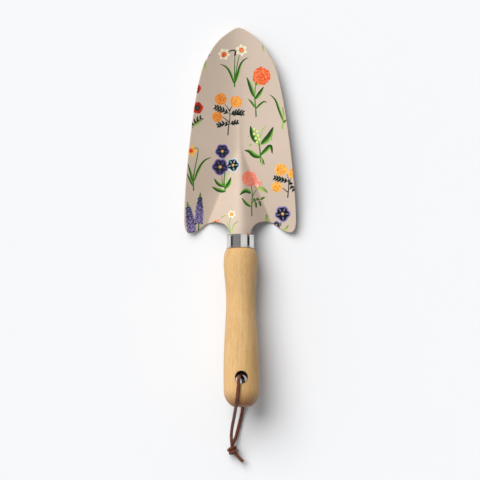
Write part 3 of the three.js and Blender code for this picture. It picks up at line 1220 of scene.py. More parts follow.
        # Violets.
        self.stalks(
            (1.1, (-12.6, 138.1), (-13.4, 130.5), (-12.8, 123.7), (-13.3, 110.9)),
            (0.9, (-13.8, 135.6), (-15.0, 130.5), (-15.4, 124.5)),
            ink=Ink.LEAF,
        )
        self.stalks((0.9, (-12.5, 135.6), (-11.1, 128.8), (-8.6, 122.0)), ink=Ink.LEAF_LIGHT)
        self.leaves(
            (3.0, (-13.4, 135.2), (-18.5, 132.5), (-22.2, 127.9)),
            (3.4, (-12.2, 139.3), (-18.2, 138.0), (-24.1, 135.1)),
            (3.4, (-12.6, 136.9), (-9.5, 133.0), (-7.5, 127.1)),
        )
        self.pansy((-5.7, 116.9), 6.0, Ink.MIST, Ink.TEAL, 0.15)
        self.pansy((-14.7, 105.1), 6.2, Ink.VIOLET, Ink.MIDNIGHT)
        self.pansy((-16.7, 118.4), 7.1, Ink.VIOLET, Ink.MIDNIGHT, -0.1)
        # Yellow narcissus cut by the left edge.
        self.leaves(
            (2.2, (-39.3, 133.4), (-41.8, 122.8), (-44.2, 114.7)),
            (2.0, (-39.8, 134.7), (-42.3, 129.1), (-45.0, 123.2)),
            (2.3, (-38.8, 130.5), (-35.2, 121.0), (-30.0, 113.1), (-23.5, 109.9)),
        )
        self.stalks(
            (1.2, (-39.4, 138.1), (-39.4, 127.4), (-37.7, 117.7), (-35.4, 105.8), (-35.7, 102.3),
             (-40.3, 102.8)),
            ink=Ink.LEAF,
        )
        self.whorl((-41.0, 104.8), 5.6, 5, 3.0, (Ink.AMBER, Ink.YELLOW), 0.35, Form.LANCE)
        self.spot((-41.3, 104.6), 2.0, Ink.SCARLET, Ink.ORANGE)
        # Coral peony.
        self.stalks(
            (1.1, (9.9, 160.2), (9.8, 152.2), (10.4, 140.7), (9.2, 133.0)),
            (0.9, (10.5, 143.9), (12.4, 140.3), (14.3, 137.6)),
            (0.8, (10.0, 148.8), (13.3, 147.0), (17.7, 146.3)),
        )
        self.leaves((3.7, (14.1, 136.6), (18.5, 137.1), (23.8, 140.8)), light=True)
        self.leaves(
            (3.8, (9.5, 141.0), (4.8, 138.6), (-0.5, 142.5)),
            (2.5, (9.5, 152.6), (5.6, 149.9), (1.2, 144.4)),
        )
        for base, tip in (
            ((17.5, 146.5), (21.4, 144.2)), ((12.6, 147.5), (11.9, 144.8)), ((12.9, 147.8), (13.8, 153.9)),
            ((16.0, 147.0), (14.1, 144.6)), ((16.0, 147.3), (17.7, 152.7)),
        ):
            self.leaves((2.3, base, tip))
        self.pompon((13.8, 132.5), 3.7, Ink.BLUSH, Ink.CORAL, Ink.CREAM)
        self.spot((17.0, 132.5), 1.5, Ink.BLUSH, Ink.CORAL)
        self.pompon((8.0, 128.4), 6.2, Ink.CORAL, Ink.BLUSH, Ink.ORANGE)
        # Two violet spikes.
        self.stalks(
            (1.3, (-35.5, 172.6), (-35.1, 164.5)),
            (1.2, (-41.1, 174.7), (-41.1, 170.4)),
            ink=Ink.LEAF,
        )
        self.spike((-33.7, 140.2), (-35.1, 166.2), 7.0)
        self.spike((-44.7, 148.0), (-41.1, 173.1), 7.8)
        # Pale narcissus at the neck.
        self.leaves(
            (1.2, (-7.0, 174.7), (-5.4, 167.9), (-0.7, 163.8)),
            (1.1, (-11.8, 160.9), (-12.6, 159.5), (-17.0, 162.3)),
            light=True,
        )
        self.stalks(
            (0.8, (-8.4, 174.7), (-9.3, 165.3), (-7.8, 160.7)),
            (0.8, (-9.5, 173.8), (-11.4, 163.6)),
            ink=Ink.LEAF_LIGHT,
        )
        self.whorl((-7.2, 158.7), 3.6, 6, 2.0, (Ink.CREAM, Ink.CREAM), 0.3, Form.LANCE)
        self.spot((-7.2, 158.7), 1.7, Ink.AMBER, Ink.ORANGE)
        self.ribbon([(-22.4, 165.0), (-19.7, 164.3)], 1.5, Ink.ORANGE, Ink.SCARLET, Form.ROUND)
        self.ribbon([(-19.9, 164.6), (-17.3, 163.3)], 1.6, Ink.AMBER, Ink.ORANGE, Form.ROUND)
        self.spot((6.4, 175.4), 0.9, Ink.ORANGE)
        # Violet by the right lobe.
        self.leaves((2.6, (23.0, 165.8), (22.5, 158.2)), light=True)
        self.stalks((0.9, (34.2, 168.7), (35.4, 163.6)), ink=Ink.LEAF)
        self.leaves((2.3, (36.2, 172.5), (38.8, 171.6), (41.1, 167.9)), light=True)
        self.pansy((30.9, 168.0), 3.5, Ink.LILAC, Ink.MIDNIGHT, 0.6)
        self.pansy((36.1, 158.7), 7.0, Ink.LILAC, Ink.MIDNIGHT, 0.1)
        # Slivers at the edges.
        self.leaves(
            (1.5, (21.3, 21.3), (20.8, 18.3), (20.0, 14.9)),
            (1.8, (-29.4, 36.1), (-28.8, 31.5), (-28.0, 27.3)),
            light=True,
        )
        self.spot((-25.8, 23.4), 1.3, Ink.LILAC, Ink.VIOLET)

    def marigolds(self, foot: Point, squat: bool) -> None:
        """Prints a marigold plant with three flowers and feathered leaves.

        Args:
            foot: the foot of its stem.
            squat: the lower plant, which leans over.
        """
        def at(right: float, up: float) -> Point:
            """Gives a place from the stem's foot."""
            return (foot[0] + right, foot[1] - up)

        if squat:
            self.stalks(
                (1.0, at(0, 0), at(0.9, 9.4), at(0.6, 16), at(-0.4, 19.4)),
                (0.9, at(-0.2, 4.6), at(-3.4, 7.2), at(-6.6, 8.8)),
                (0.8, at(0.8, 12.6), at(3, 16.4)),
                ink=Ink.TEAL,
            )
            self.fern([at(0.4, 13.6), at(-5, 15), at(-11.2, 16.8)], 3.9, 5)
            self.fern([at(1.8, 14.4), at(3.4, 9), at(5.4, 5.6)], 3.2, 3)
            self.pompon(at(-9.2, 8.8), 4.3, Ink.AMBER, Ink.YELLOW, Ink.RUST)
            self.pompon(at(-5.6, 23.7), 5.1, Ink.YELLOW, Ink.AMBER, Ink.RUST)
            self.pompon(at(4.4, 20.4), 4.0, Ink.YELLOW, Ink.AMBER, Ink.RUST)
            return
        self.stalks(
            (1.0, at(0, 0), at(0.7, 7.7), at(1.7, 13), at(1.7, 22)),
            (0.8, at(1.7, 20), at(-0.6, 24), at(-3, 26.6)),
            (0.8, at(1.8, 20.6), at(3.4, 24), at(5, 26)),
            (1.0, at(1.4, 10.6), at(-2, 13.6), at(-5.4, 15.9)),
            ink=Ink.TEAL,
        )
        self.fern([at(0.6, 18.4), at(-5, 21.4), at(-10.6, 23.6)], 4.3, 5)
        self.fern([at(2.4, 17.6), at(8, 19), at(13.0, 18.6)], 4.4, 5)
        self.fern([at(1, 9), at(-4, 9.6), at(-8.6, 8.2)], 3.9, 4)
        self.fern([at(2, 9.2), at(5.4, 10.4), at(8.4, 11)], 3.4, 3)
        self.ribbon([at(-5.4, 15.9), at(-8, 15.9)], 3.4, Ink.TEAL, Ink.TEAL, Form.ROUND)
        self.pompon(at(-9, 15.4), 4.3, Ink.AMBER, Ink.OCHRE, Ink.RUST)
        self.pompon(at(-5.9, 30.5), 4.9, Ink.AMBER, Ink.OCHRE, Ink.RUST)
        self.pompon(at(7.1, 28.2), 4.8, Ink.AMBER, Ink.OCHRE, Ink.YELLOW)


# ---------- blade ----------


@dataclass
class Blade:
    """The pressed and printed blade, in millimetres, across and behind its tip."""

    reach: float = 175.5
    half_width: float = 47.6
    sheet: float = 1.5
    neck_insert: float = 2.64
    ridge_length: float = 71.5
    ridge_rise: float = 0.36
    ridge_tip_radius: float = 1.5
    ridge_growth: float = 0.05
    ridge_straightens: float = 6.0
    foot_blend: float = 1.8
    dish_slope: float = math.tan(math.radians(21))
    dish_floor_radius: float = 12.0
    tip_lift: float = 6.5
    handle_slope: float = math.tan(HANDLE_TILT)
    edge_round: float = 0.68
    edge_turns: Triple = (0.45, 0.95, math.pi / 2)
    nose: Point = (3.5, 1.0)
    knee: Point = (28.8, 28.9)
    knee_lean: float = 0.53
    lobe_from: float = 164.0
    lobe_tip: Point = (42.1, 174.7)
    scallop: Point = (21.5, 165.3)
    neck: Point = (9.0, 175.0)
    neck_gap: float = 0.5
    rim_wear: float = 1.1
    columns: int = 184
    rows: int = 346

    def crest(self, behind: np.ndarray) -> np.ndarray:
        """Gives the height of the ridge's crest.

        Args:
            behind: distances behind the tip.

        Returns:
            The heights.
        """
        rise = self.ridge_rise * soft_ramp(behind - (self.reach - self.ridge_length), 3.0)
        level = soft_ramp(behind - (self.reach - self.ridge_straightens), 1.5)
        return rise - (self.ridge_rise - self.handle_slope) * level

    def underside(self, across: np.ndarray, behind: np.ndarray) -> np.ndarray:
        """Gives the height of the lower face.

        Args:
            across: distances from the middle line.
            behind: distances behind the tip.

        Returns:
            The heights.
        """
        start = self.reach - self.ridge_length
        crest = self.crest(behind)
        radius = self.ridge_tip_radius + self.ridge_growth * soft_ramp(behind - start, 3.0)
        foot = np.sqrt((crest + radius) ** 2 - radius**2)
        lift = self.tip_lift * (np.maximum(0.0, start - behind) / start) ** 2
        dish = self.dish_slope * (fold(across, self.dish_floor_radius) - fold(foot, self.dish_floor_radius))
        ridge = crest - fold(across, radius)
        both = dish + lift
        return (both + ridge + np.hypot(both - ridge, self.foot_blend)) / 2

    def topside(self, across: np.ndarray, behind: np.ndarray) -> np.ndarray:
        """Gives the height of the upper face, the sheet's thickness square to its slope.

        Args:
            across: distances from the middle line.
            behind: distances behind the tip.

        Returns:
            The heights.
        """
        step = 0.05
        low = self.underside(across, behind)
        aside = (self.underside(across + step, behind) - low) / step
        back = (self.underside(across, behind + step) - low) / step
        return low + self.sheet * np.sqrt(1 + aside**2 + back**2)

    def outline(self) -> tuple[np.ndarray, np.ndarray, np.ndarray]:
        """Draws the right half of the outline in three lines.

        Returns:
            The tip's line from the middle, the side from the tip, and the rear from the middle;
            the last two end together on the lobe's corner.
        """
        w, end = self.half_width, self.reach + self.neck_insert
        nose, knee, lobe, low, neck = self.nose, self.knee, self.lobe_tip, self.scallop, self.neck
        before, after = (around(knee, self.knee_lean, away) for away in (-12, 17))
        tip = np.array([(0.0, 0.0), nose])
        corner = bezier((w, self.lobe_from), (w, 171.7), (45.6, lobe[1]), lobe)
        side = np.vstack([
            tip[-1:],
            bezier(nose, (20.5, 10.5), before, knee),
            bezier(knee, after, (w, 129.0), (w, self.lobe_from), 40),
            corner[:12],
        ])
        wave = lobe[0] - low[0]
        rear = np.vstack([
            [(0.0, end), (8.7, end), neck],
            bezier(neck, (10.2, 167.8), (15.5, low[1]), low),
            bezier(low, (low[0] + 0.4 * wave, low[1]), (lobe[0] - 0.35 * wave, lobe[1]), lobe),
            corner[11:-1][::-1],
        ])
        return tip, side, rear

    def patch(self, u: np.ndarray, v: np.ndarray, inset: float) -> tuple[np.ndarray, ...]:
        """Spreads a grid over the outline.

        Args:
            u: places across the grid, -1 to 1.
            v: places along it, 0 at the tip and 1 at the rear.
            inset: how far inside the outline its border runs.

        Returns:
            Across, behind, and the outward direction's two parts, which count at the border.
        """
        share, lines = np.abs(u), []
        for line, outward in zip(self.outline(), (1, 1, -1), strict=True):
            even = even_line(line, 0.25)
            run = np.gradient(even, axis=0)
            run /= np.linalg.norm(run, axis=1)[:, None]
            normal = np.stack([run[:, 1], -run[:, 0]], axis=1) * outward
            normal[np.abs(even[:, 0]) < 1e-6, 0] = 0.0
            lines.append((np.linspace(0, 1, len(even)), even - normal * inset, normal))
        tip, side, rear = (
            [
                np.stack([np.interp(at, where, column) for column in values.T], axis=1)
                for values in (points, normals)
            ]
            for (where, points, normals), at in zip(lines, (share, v, share), strict=True)
        )
        s, t = share[:, None], v[:, None]
        corners = [lines[i][1][j] for i, j in ((0, 0), (1, 0), (2, 0), (1, -1))]
        middle = corners[0] * (1 - t) + corners[2] * t
        place = (
            (1 - s) * middle + s * side[0] + (1 - t) * tip[0] + t * rear[0]
            - (1 - s) * (1 - t) * corners[0] - s * (1 - t) * corners[1]
            - (1 - s) * t * corners[2] - s * t * corners[3]
        )
        normal = np.where(s > 0.9999, side[1], np.where(t > 0.5, rear[1], tip[1]))
        sign = np.where(u < 0, -1.0, 1.0)
        return place[:, 0] * sign, place[:, 1], normal[:, 0] * sign, normal[:, 1]

    def build(self, finish: Material) -> Object:
        """Makes the blade and prints it.

        Args:
            finish: its material.

        Returns:
            The blade.
        """
        bm = bmesh.new()
        layers, kept = bm.verts.layers.float, ("edge_x", "edge_y", "out_x", "out_y")
        for name in kept:
            layers.new(name)
        keep = [layers[name] for name in kept]
        bmesh.ops.create_grid(bm, x_segments=self.columns, y_segments=self.rows, size=1)
        round_by = self.edge_round
        self._lift(list(bm.verts), keep, round_by, True)
        edge = [e for e in bm.edges if e.is_boundary]
        for upper, turns in ((True, self.edge_turns), (False, self.edge_turns[::-1])):
            for turn in turns:
                edges, verts = extruded(bm, edge)
                edge = [e for e in edges if e.is_boundary]
                level = (math.cos(turn) - 1 if upper else 1 - math.cos(turn)) * round_by
                self._ring(verts, keep, (1 - math.sin(turn)) * round_by, level, upper)
        before = set(bm.verts)
        bmesh.ops.create_grid(bm, x_segments=self.columns // 2, y_segments=self.rows // 2, size=1)
        fresh = [v for v in bm.verts if v not in before]
        self._lift(fresh, keep, round_by, False)
        under = [e for v in fresh for e in v.link_edges if e.is_boundary]
        bmesh.ops.bridge_loops(bm, edges=list(set(under) | set(edge)))
        bmesh.ops.recalc_face_normals(bm, faces=bm.faces)
        bmesh.ops.reverse_faces(bm, faces=bm.faces)  # Putting it in its place mirrors it.
        for name in kept:
            layers.remove(layers[name])
        made = piece(bm, "blade_sheet", finish)
        self._mark(made)
        return made

    def _lift(self, verts: list, keep: list, inset: float, upper: bool) -> None:
        """Puts a flat grid's vertices on one face of the sheet.

        Args:
            verts: the grid's vertices.
            keep: the layers that hold each one's place on the outline, and the way out of it.
            inset: how far inside the outline the grid's border runs.
            upper: on the upper face, not the lower one.
        """
        u = np.array([vert.co.x for vert in verts])
        v = np.array([(1 - vert.co.y) / 2 for vert in verts])
        across, behind, *out = self.patch(u, v, inset)
        edge = self.patch(u, v, 0.0)[:2]
        height = (self.topside if upper else self.underside)(across, behind)
        for vert, x, b, z, *outline in zip(verts, across, behind, height, *edge, *out, strict=True):
            vert.co = (x, b, z)
            for layer, value in zip(keep, outline, strict=True):
                vert[layer] = value

    def _ring(self, verts: list, keep: list, inset: float, height: float, upper: bool) -> None:
        """Puts a ring of the rolled edge in its place.

        Args:
            verts: the ring's vertices.
            keep: the layers that hold each one's place on the outline, and the way out of it.
            inset: how far inside the outline it runs.
            height: how far above the sheet's face.
            upper: above the upper face, not the lower one.
        """
        edge_x, edge_y, out_x, out_y = (np.array([v[layer] for v in verts]) for layer in keep)
        across, behind = edge_x - out_x * inset, edge_y - out_y * inset
        level = (self.topside if upper else self.underside)(across, behind) + height
        for vert, *place in zip(verts, across, behind, level, strict=True):
            vert.co = place

    def _mark(self, made: Object) -> None:
        """Puts the mesh in its place, and prints the upper face.

        Args:
            made: the blade, its vertices still across, behind and up, in millimetres.
        """
        mesh = made.data
        raw = places(made) * MM
        across, behind = raw[:, 0].copy(), raw[:, 1].copy()
        centre = (self.underside(across, behind) + self.topside(across, behind)) / 2
        plate = InkPlate(across, behind)
        plate.garden()
        plate.reach[raw[:, 2] < centre] = plate.far
        tip_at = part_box("blade")[1].y / MM
        place = np.stack([across, tip_at - behind, raw[:, 2] + self.rise()], axis=1) * MM
        mesh.vertices.foreach_set("co", place.astype(np.float32).ravel())
        mesh.update()
        spread_value(made, "ink_reach", plate.reach)
        layer = mesh.attributes.new("ink_colour", "FLOAT_COLOR", "POINT")
        rgba = np.concatenate([plate.colour, np.ones((len(plate.colour), 1))], axis=1)
        layer.data.foreach_set("color", rgba.astype(np.float32).ravel())
        _, side, rear = self.outline()
        rim = np.vstack([even_line(side, 0.5), even_line(rear[2:], 0.5)])
        _, away = nearest(np.vstack([rim, rim * (-1, 1)]), np.stack([across, behind], axis=1))
        spread_value(made, "rim_near", np.clip(1 - away / self.rim_wear, 0, 1))

    def rise(self) -> float:
        """Gives how far the surface has to be raised for its crest to fit inside the ferrule.

        Returns:
            The rise, in millimetres.
        """
        line = HandleLine()
        crest_top = self.topside(np.array([0.0]), np.array([self.reach]))[0]
        return line.start.z / MM - (crest_top - (Ferrule.bore - self.neck_gap) / math.cos(line.tilt))


def soft_ramp(distance: np.ndarray, width: float) -> np.ndarray:
    """Gives a ramp that starts softly and then rises one for one."""
    return width * np.log1p(np.exp(distance / width))


def fold(across: np.ndarray, radius: np.ndarray | float) -> np.ndarray:
    """Gives a fold with straight sides of slope 1 and a rounded middle."""
    return np.hypot(across, radius) - radius


# ---------- ferrule, handle and tang ----------


@dataclass
class HandleLine:
    """The line that ferrule, handle and tang share, from the ferrule's face; +Y faces the butt."""

    tilt: float = HANDLE_TILT
    start: Vector = field(init=False)

    def __post_init__(self) -> None:
        """Finds the line's start from the ferrule."""
        low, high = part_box("ferrule")
        along = Vector((0, -math.cos(self.tilt), math.sin(self.tilt)))
        self.start = (low + high) / 2 - along * Ferrule.length / 2 * MM

    @property
    def matrix(self) -> Matrix:
        """Takes the line's own frame to the row's frame; its -Z faces up."""
        return Matrix.Translation(self.start) @ Matrix.Rotation(math.pi - self.tilt, 4, "X")

    def own(self, made: Object) -> np.ndarray:
        """Gives a piece's vertices in the line's own frame, in millimetres."""
        back = np.array(self.matrix.inverted())
        return (places(made) * MM) @ back[:3, :3].T / MM + back[:3, 3] / MM


@dataclass
class Ferrule:
    """The plated ring round the neck, with a rolled bead at each end."""

    line: HandleLine
    length: float = 11.5
    bore: float = 10.9
    wall: float = 0.8
    bead: float = 0.35
    bead_length: float = 1.3
    lip: float = 0.3
    setback: float = 1.2
    sides: int = 128

    def profile(self) -> list[Point]:
        """Draws the ring's section.

        Returns:
            Radius and place along the line.
        """
        outer, length = self.bore + self.wall, self.length
        turns = np.linspace(0, math.pi, 9)
        front = [
            (outer + self.bead * math.sin(t), self.bead_length * (0.5 - 0.5 * math.cos(t))) for t in turns
        ]
        rear = [(radius, length - self.bead_length + along) for radius, along in front]
        inside = [self.bead_length + 0.12, self.bead_length + 0.5, length / 2]
        front += [(outer, along) for along in inside]
        rear = [(outer, length - along) for along in inside[1::-1]] + rear
        lip = [
            (self.bore + self.lip * (1 - math.cos(t)), self.lip - self.lip * math.sin(t))
            for t in (0.0, 0.5, 1.0, math.pi / 2)
        ]
        back_lip = [(radius, length - along) for radius, along in lip]
        return [(radius, along + self.setback) for radius, along in lip + front + rear + back_lip[::-1]]

    def build(self, finish: Material) -> Object:
        """Makes the ring.

        Args:
            finish: its material.

        Returns:
            The ring.
        """
        ring = turned(self.profile(), self.sides, self.line.matrix, closed=True)
        made = piece(ring, "ferrule_ring", finish)
        own = self.line.own(made)
        radius = np.hypot(own[:, 0], own[:, 2])
        spread_value(made, "rim_near", np.clip((radius - self.bore - self.wall) / self.bead, 0, 1) * 0.8)
        return made


@dataclass
class Handle:
    """The turned handle with its hanging hole."""

    line: HandleLine
    shoulder: float = 13.0
    length: float = 133.8
    collar: float = 11.9
    swell: Point = (14.35, 12.6)
    waist: Point = (12.5, 46.8)
    palm: float = 15.15
    palm_before_butt: float = 24.0
    butt_round: float = 14.0
    butt_flat: float = 8.1
    hole: float = 5.2
    hole_before_butt: float = 22.9
    bore: float = 3.85
    bore_end: float = 64.3
    tenon: float = 10.6
    tenon_start: float = 4.3
    flare_from: float = 13.3
    flare: float = 0.17
    grip_at: float = 66.0
    grip_spread: float = 34.0
    # How far from the butt its painted shade and darker end grain reach, in millimetres.
    end_grain_and_butt_shade: float = 13.0
    sharp: float = math.radians(38)
    sides: int = 128

    def profile(self) -> list[Point]:
        """Draws the handle's section, from the bottom of its bore round to the butt.

        Returns:
            Radius and place along the line.
        """
        front, waist, palm, length = self.swell, self.waist, self.palm, self.length
        grip, palm_at = waist[1] - front[1], length - self.palm_before_butt
        reach, rounding = palm_at - waist[1], self.butt_round
        outer = np.vstack([
            [(self.collar - 0.35, 0.0), (self.collar - 0.1, 0.1), (self.collar, 0.35)],
            bezier((self.collar, 0.35), (self.collar + 0.7 * (front[0] - self.collar), 0.12 * front[1]),
                   (front[0], 0.5 * front[1]), front, 14),
            bezier(front, (front[0], front[1] + 0.22 * grip), (waist[0], waist[1] - 0.46 * grip), waist),
            bezier(waist, (waist[0], waist[1] + 0.19 * reach), (palm, palm_at - 0.53 * reach),
                   (palm, palm_at), 40),
            even_line(np.array([(palm, palm_at), (palm, length - rounding)]), 1.6)[1:],
            bezier((palm, length - rounding), (palm, length - 0.5 * rounding),
                   (self.butt_flat + 0.58 * (palm - self.butt_flat), length - 0.2 * rounding),
                   (self.butt_flat, length), 18),
            [(self.butt_flat * share, length) for share in (0.93, 0.75, 0.5, 0.25, 0.0)],
        ])
        inner = [(0.0, self.bore_end), (self.bore, self.bore_end), (self.bore, self.tenon_start),
                 (self.tenon, self.tenon_start), (self.tenon, self.shoulder)]
        return inner + [(float(radius), float(along) + self.shoulder) for radius, along in outer]

    def build(self, finish: Material) -> Object:
        """Turns the handle, drills it and softens the hole's mouths.

        Args:
            finish: its material.

        Returns:
            The handle.
        """
        made = piece(turned(self.profile(), self.sides, self.line.matrix), "handle_turned", finish)
        butt_at = self.shoulder + self.length
        hole_at = butt_at - self.hole_before_butt
        self._drill(made, hole_at)
        own = self.line.own(made)
        radius = np.hypot(own[:, 0], own[:, 2])
        from_hole = np.hypot(own[:, 0], own[:, 1] - hole_at) - self.hole
        mouth = 1 - np.abs(from_hole - 0.2) / 1.4
        butt = 1 - np.abs(butt_at - own[:, 1]) / 1.2
        grip = 0.34 * np.exp(-(((own[:, 1] - self.grip_at) / self.grip_spread) ** 2))
        handled = np.where(radius > self.hole * 2, np.maximum.reduce([mouth, butt * 0.7, grip]), 0.5)
        spread_value(made, "handled", np.clip(handled, 0, 1))
        # Where the hole's wall is; the wood paints it near black as painted shade.
        spread_value(made, "shaded_hole_wall", np.clip(1.2 - from_hole / 0.45, 0, 1))
        # Painted shade on the butt's rounding, with its darker end grain, growing over the last
        # millimetres.
        near_butt = np.clip((own[:, 1] - (butt_at - self.end_grain_and_butt_shade)) / self.end_grain_and_butt_shade, 0, 1)
        spread_value(made, "end_grain_and_butt_shade", near_butt**1.5 * 0.95)
        made.data.set_sharp_from_angle(angle=self.sharp)
        return made

    def _drill(self, made: Object, hole_at: float) -> None:
        """Cuts the hanging hole, its two mouths flared.

        Args:
            made: the handle.
            hole_at: the hole's place along the line, in millimetres.
        """
        heights = [self.flare_from + 0.2 * step for step in range(14)]
        half = [(self.hole + self.flare * (z - self.flare_from) ** 2, z) for z in heights]
        top = half[-1][1]
        section = [(0.0, -top), *((radius, -z) for radius, z in half[::-1]), *half, (0.0, top)]
        place = Matrix.Translation((0, hole_at * MM, 0)) @ Matrix.Rotation(math.pi / 2, 4, "X")
        drill = piece(turned(section, 72, self.line.matrix @ place), "drill", made.active_material)
        cut = made.modifiers.new("hole", "BOOLEAN")
        cut.operation, cut.solver, cut.object = "DIFFERENCE", "EXACT", drill
        modifiers_kept(made)
        bpy.data.objects.remove(drill)


@dataclass
class Tang:
    """The rod under the ridge, with the weld beads that hold it."""

    line: HandleLine
    radius: float = 3.5
    front: float = -22.0
    end: float = 62.3
    nose: float = 0.7
    bevel: float = 1.0
    weld_radius: float = 2.76
    weld_length: float = 11.0
    weld_spread: float = math.radians(52)
    ripple: float = 0.05
    ripples: float = 26.0
    clearance: float = 0.12

    def build_rod(self, finish: Material) -> Object:
        """Turns the rod, its front end rounded over and its rear end bevelled.

        Args:
            finish: its material.

        Returns:
            The rod.
        """
        radius, nose = self.radius, self.nose
        front = [
            (radius - nose * (1 - math.sin(turn)), self.front + nose * (1 - math.cos(turn)))
            for turn in np.linspace(0, math.pi / 2, 5)
        ]
        shaft = [(radius, y) for y in (-10.0, 1.0, 20.0, 40.0, self.end - self.bevel)]
        rear = [(radius - self.bevel, self.end), (0.0, self.end)]
        profile = [(0.0, self.front), *front, *shaft, *rear]
        made = piece(turned(profile, 48, self.line.matrix), "tang_rod", finish)
        own = self.line.own(made)
        spread_value(made, "heat", np.clip(1 - (own[:, 1] - self.front - 4) / 12, 0, 1) * 0.55)
        return made

    def build_welds(self, finish: Material) -> Object:
        """Makes the two rippled beads between rod and ridge, kept under the blade's lower face.

        Args:
            finish: their material.

        Returns:
            Both beads, as one piece.
        """
        blade = Blade()
        rise, tip = blade.rise(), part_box("blade")[1].y / MM
        bm = bmesh.new()
        reach = self.radius + 0.35 * self.weld_radius
        for side in (-1, 1):
            centre = Vector((
                side * reach * math.sin(self.weld_spread),
                self.front + self.weld_length / 2 - 1,
                -reach * math.cos(self.weld_spread),
            ))
            for vert in bmesh.ops.create_uvsphere(bm, u_segments=28, v_segments=36, radius=1)["verts"]:
                x, y, z = vert.co
                around_by = self.weld_radius * (1 + self.ripple * math.sin(z * self.ripples))
                vert.co = centre + Vector((x * around_by, z * self.weld_length / 2, y * around_by))
        bmesh.ops.scale(bm, vec=(MM, MM, MM), verts=bm.verts)
        bmesh.ops.transform(bm, matrix=self.line.matrix, verts=bm.verts)
        for vert in bm.verts:
            x, y, z = vert.co / MM
            lower = blade.underside(np.array([x]), np.array([tip - y]))[0] + rise - self.clearance
            vert.co.z = min(z, lower) * MM
        bmesh.ops.recalc_face_normals(bm, faces=bm.faces)
        made = piece(bm, "weld_beads", finish)
        spread_value(made, "heat", np.full(len(made.data.vertices), 0.8))
        return made


# ---------- lanyard ----------

THROUGH_HOLE = (
    (-2.4, -138.4, 47.5), (-2.1, -135.9, 45.8), (-1.5, -134.5, 42.4), (-0.5, -134.6, 35.8),
    (0.5, -135.7, 29.6), (1.2, -137.0, 23.6), (1.5, -138.6, 17.8),
)
UPPER_LEG = (
    (-8.8, -190.6, 9.0), (-9.0, -185.8, 11.6), (-8.5, -180.2, 15.6), (-7.5, -174.6, 21.2),
    (-6.5, -169.6, 27.6), (-5.7, -165.2, 34.0), (-5.0, -161.3, 39.9), (-4.4, -157.0, 44.4),
    (-3.7, -152.0, 46.9), (-3.0, -146.9, 47.9), (-2.6, -142.3, 48.1),
)
LOWER_LEG = (
    (1.6, -140.4, 12.6), (1.7, -143.6, 8.6), (1.6, -148.2, 5.6), (1.4, -154.0, 3.6),
    (0.9, -160.6, 2.4), (-0.2, -167.6, 1.8), (-1.9, -174.8, 1.7), (-3.8, -182.0, 1.9),
    (-5.4, -187.6, 2.7),
)
UPPER_TAIL = ((-4.6, -201.6, 7.2), (-1.8, -204.7, 7.0), (1.1, -207.8, 6.7))
LOWER_TAIL = ((-4.8, -201.8, 4.2), (-2.1, -204.9, 3.9), (0.6, -207.7, 3.6))


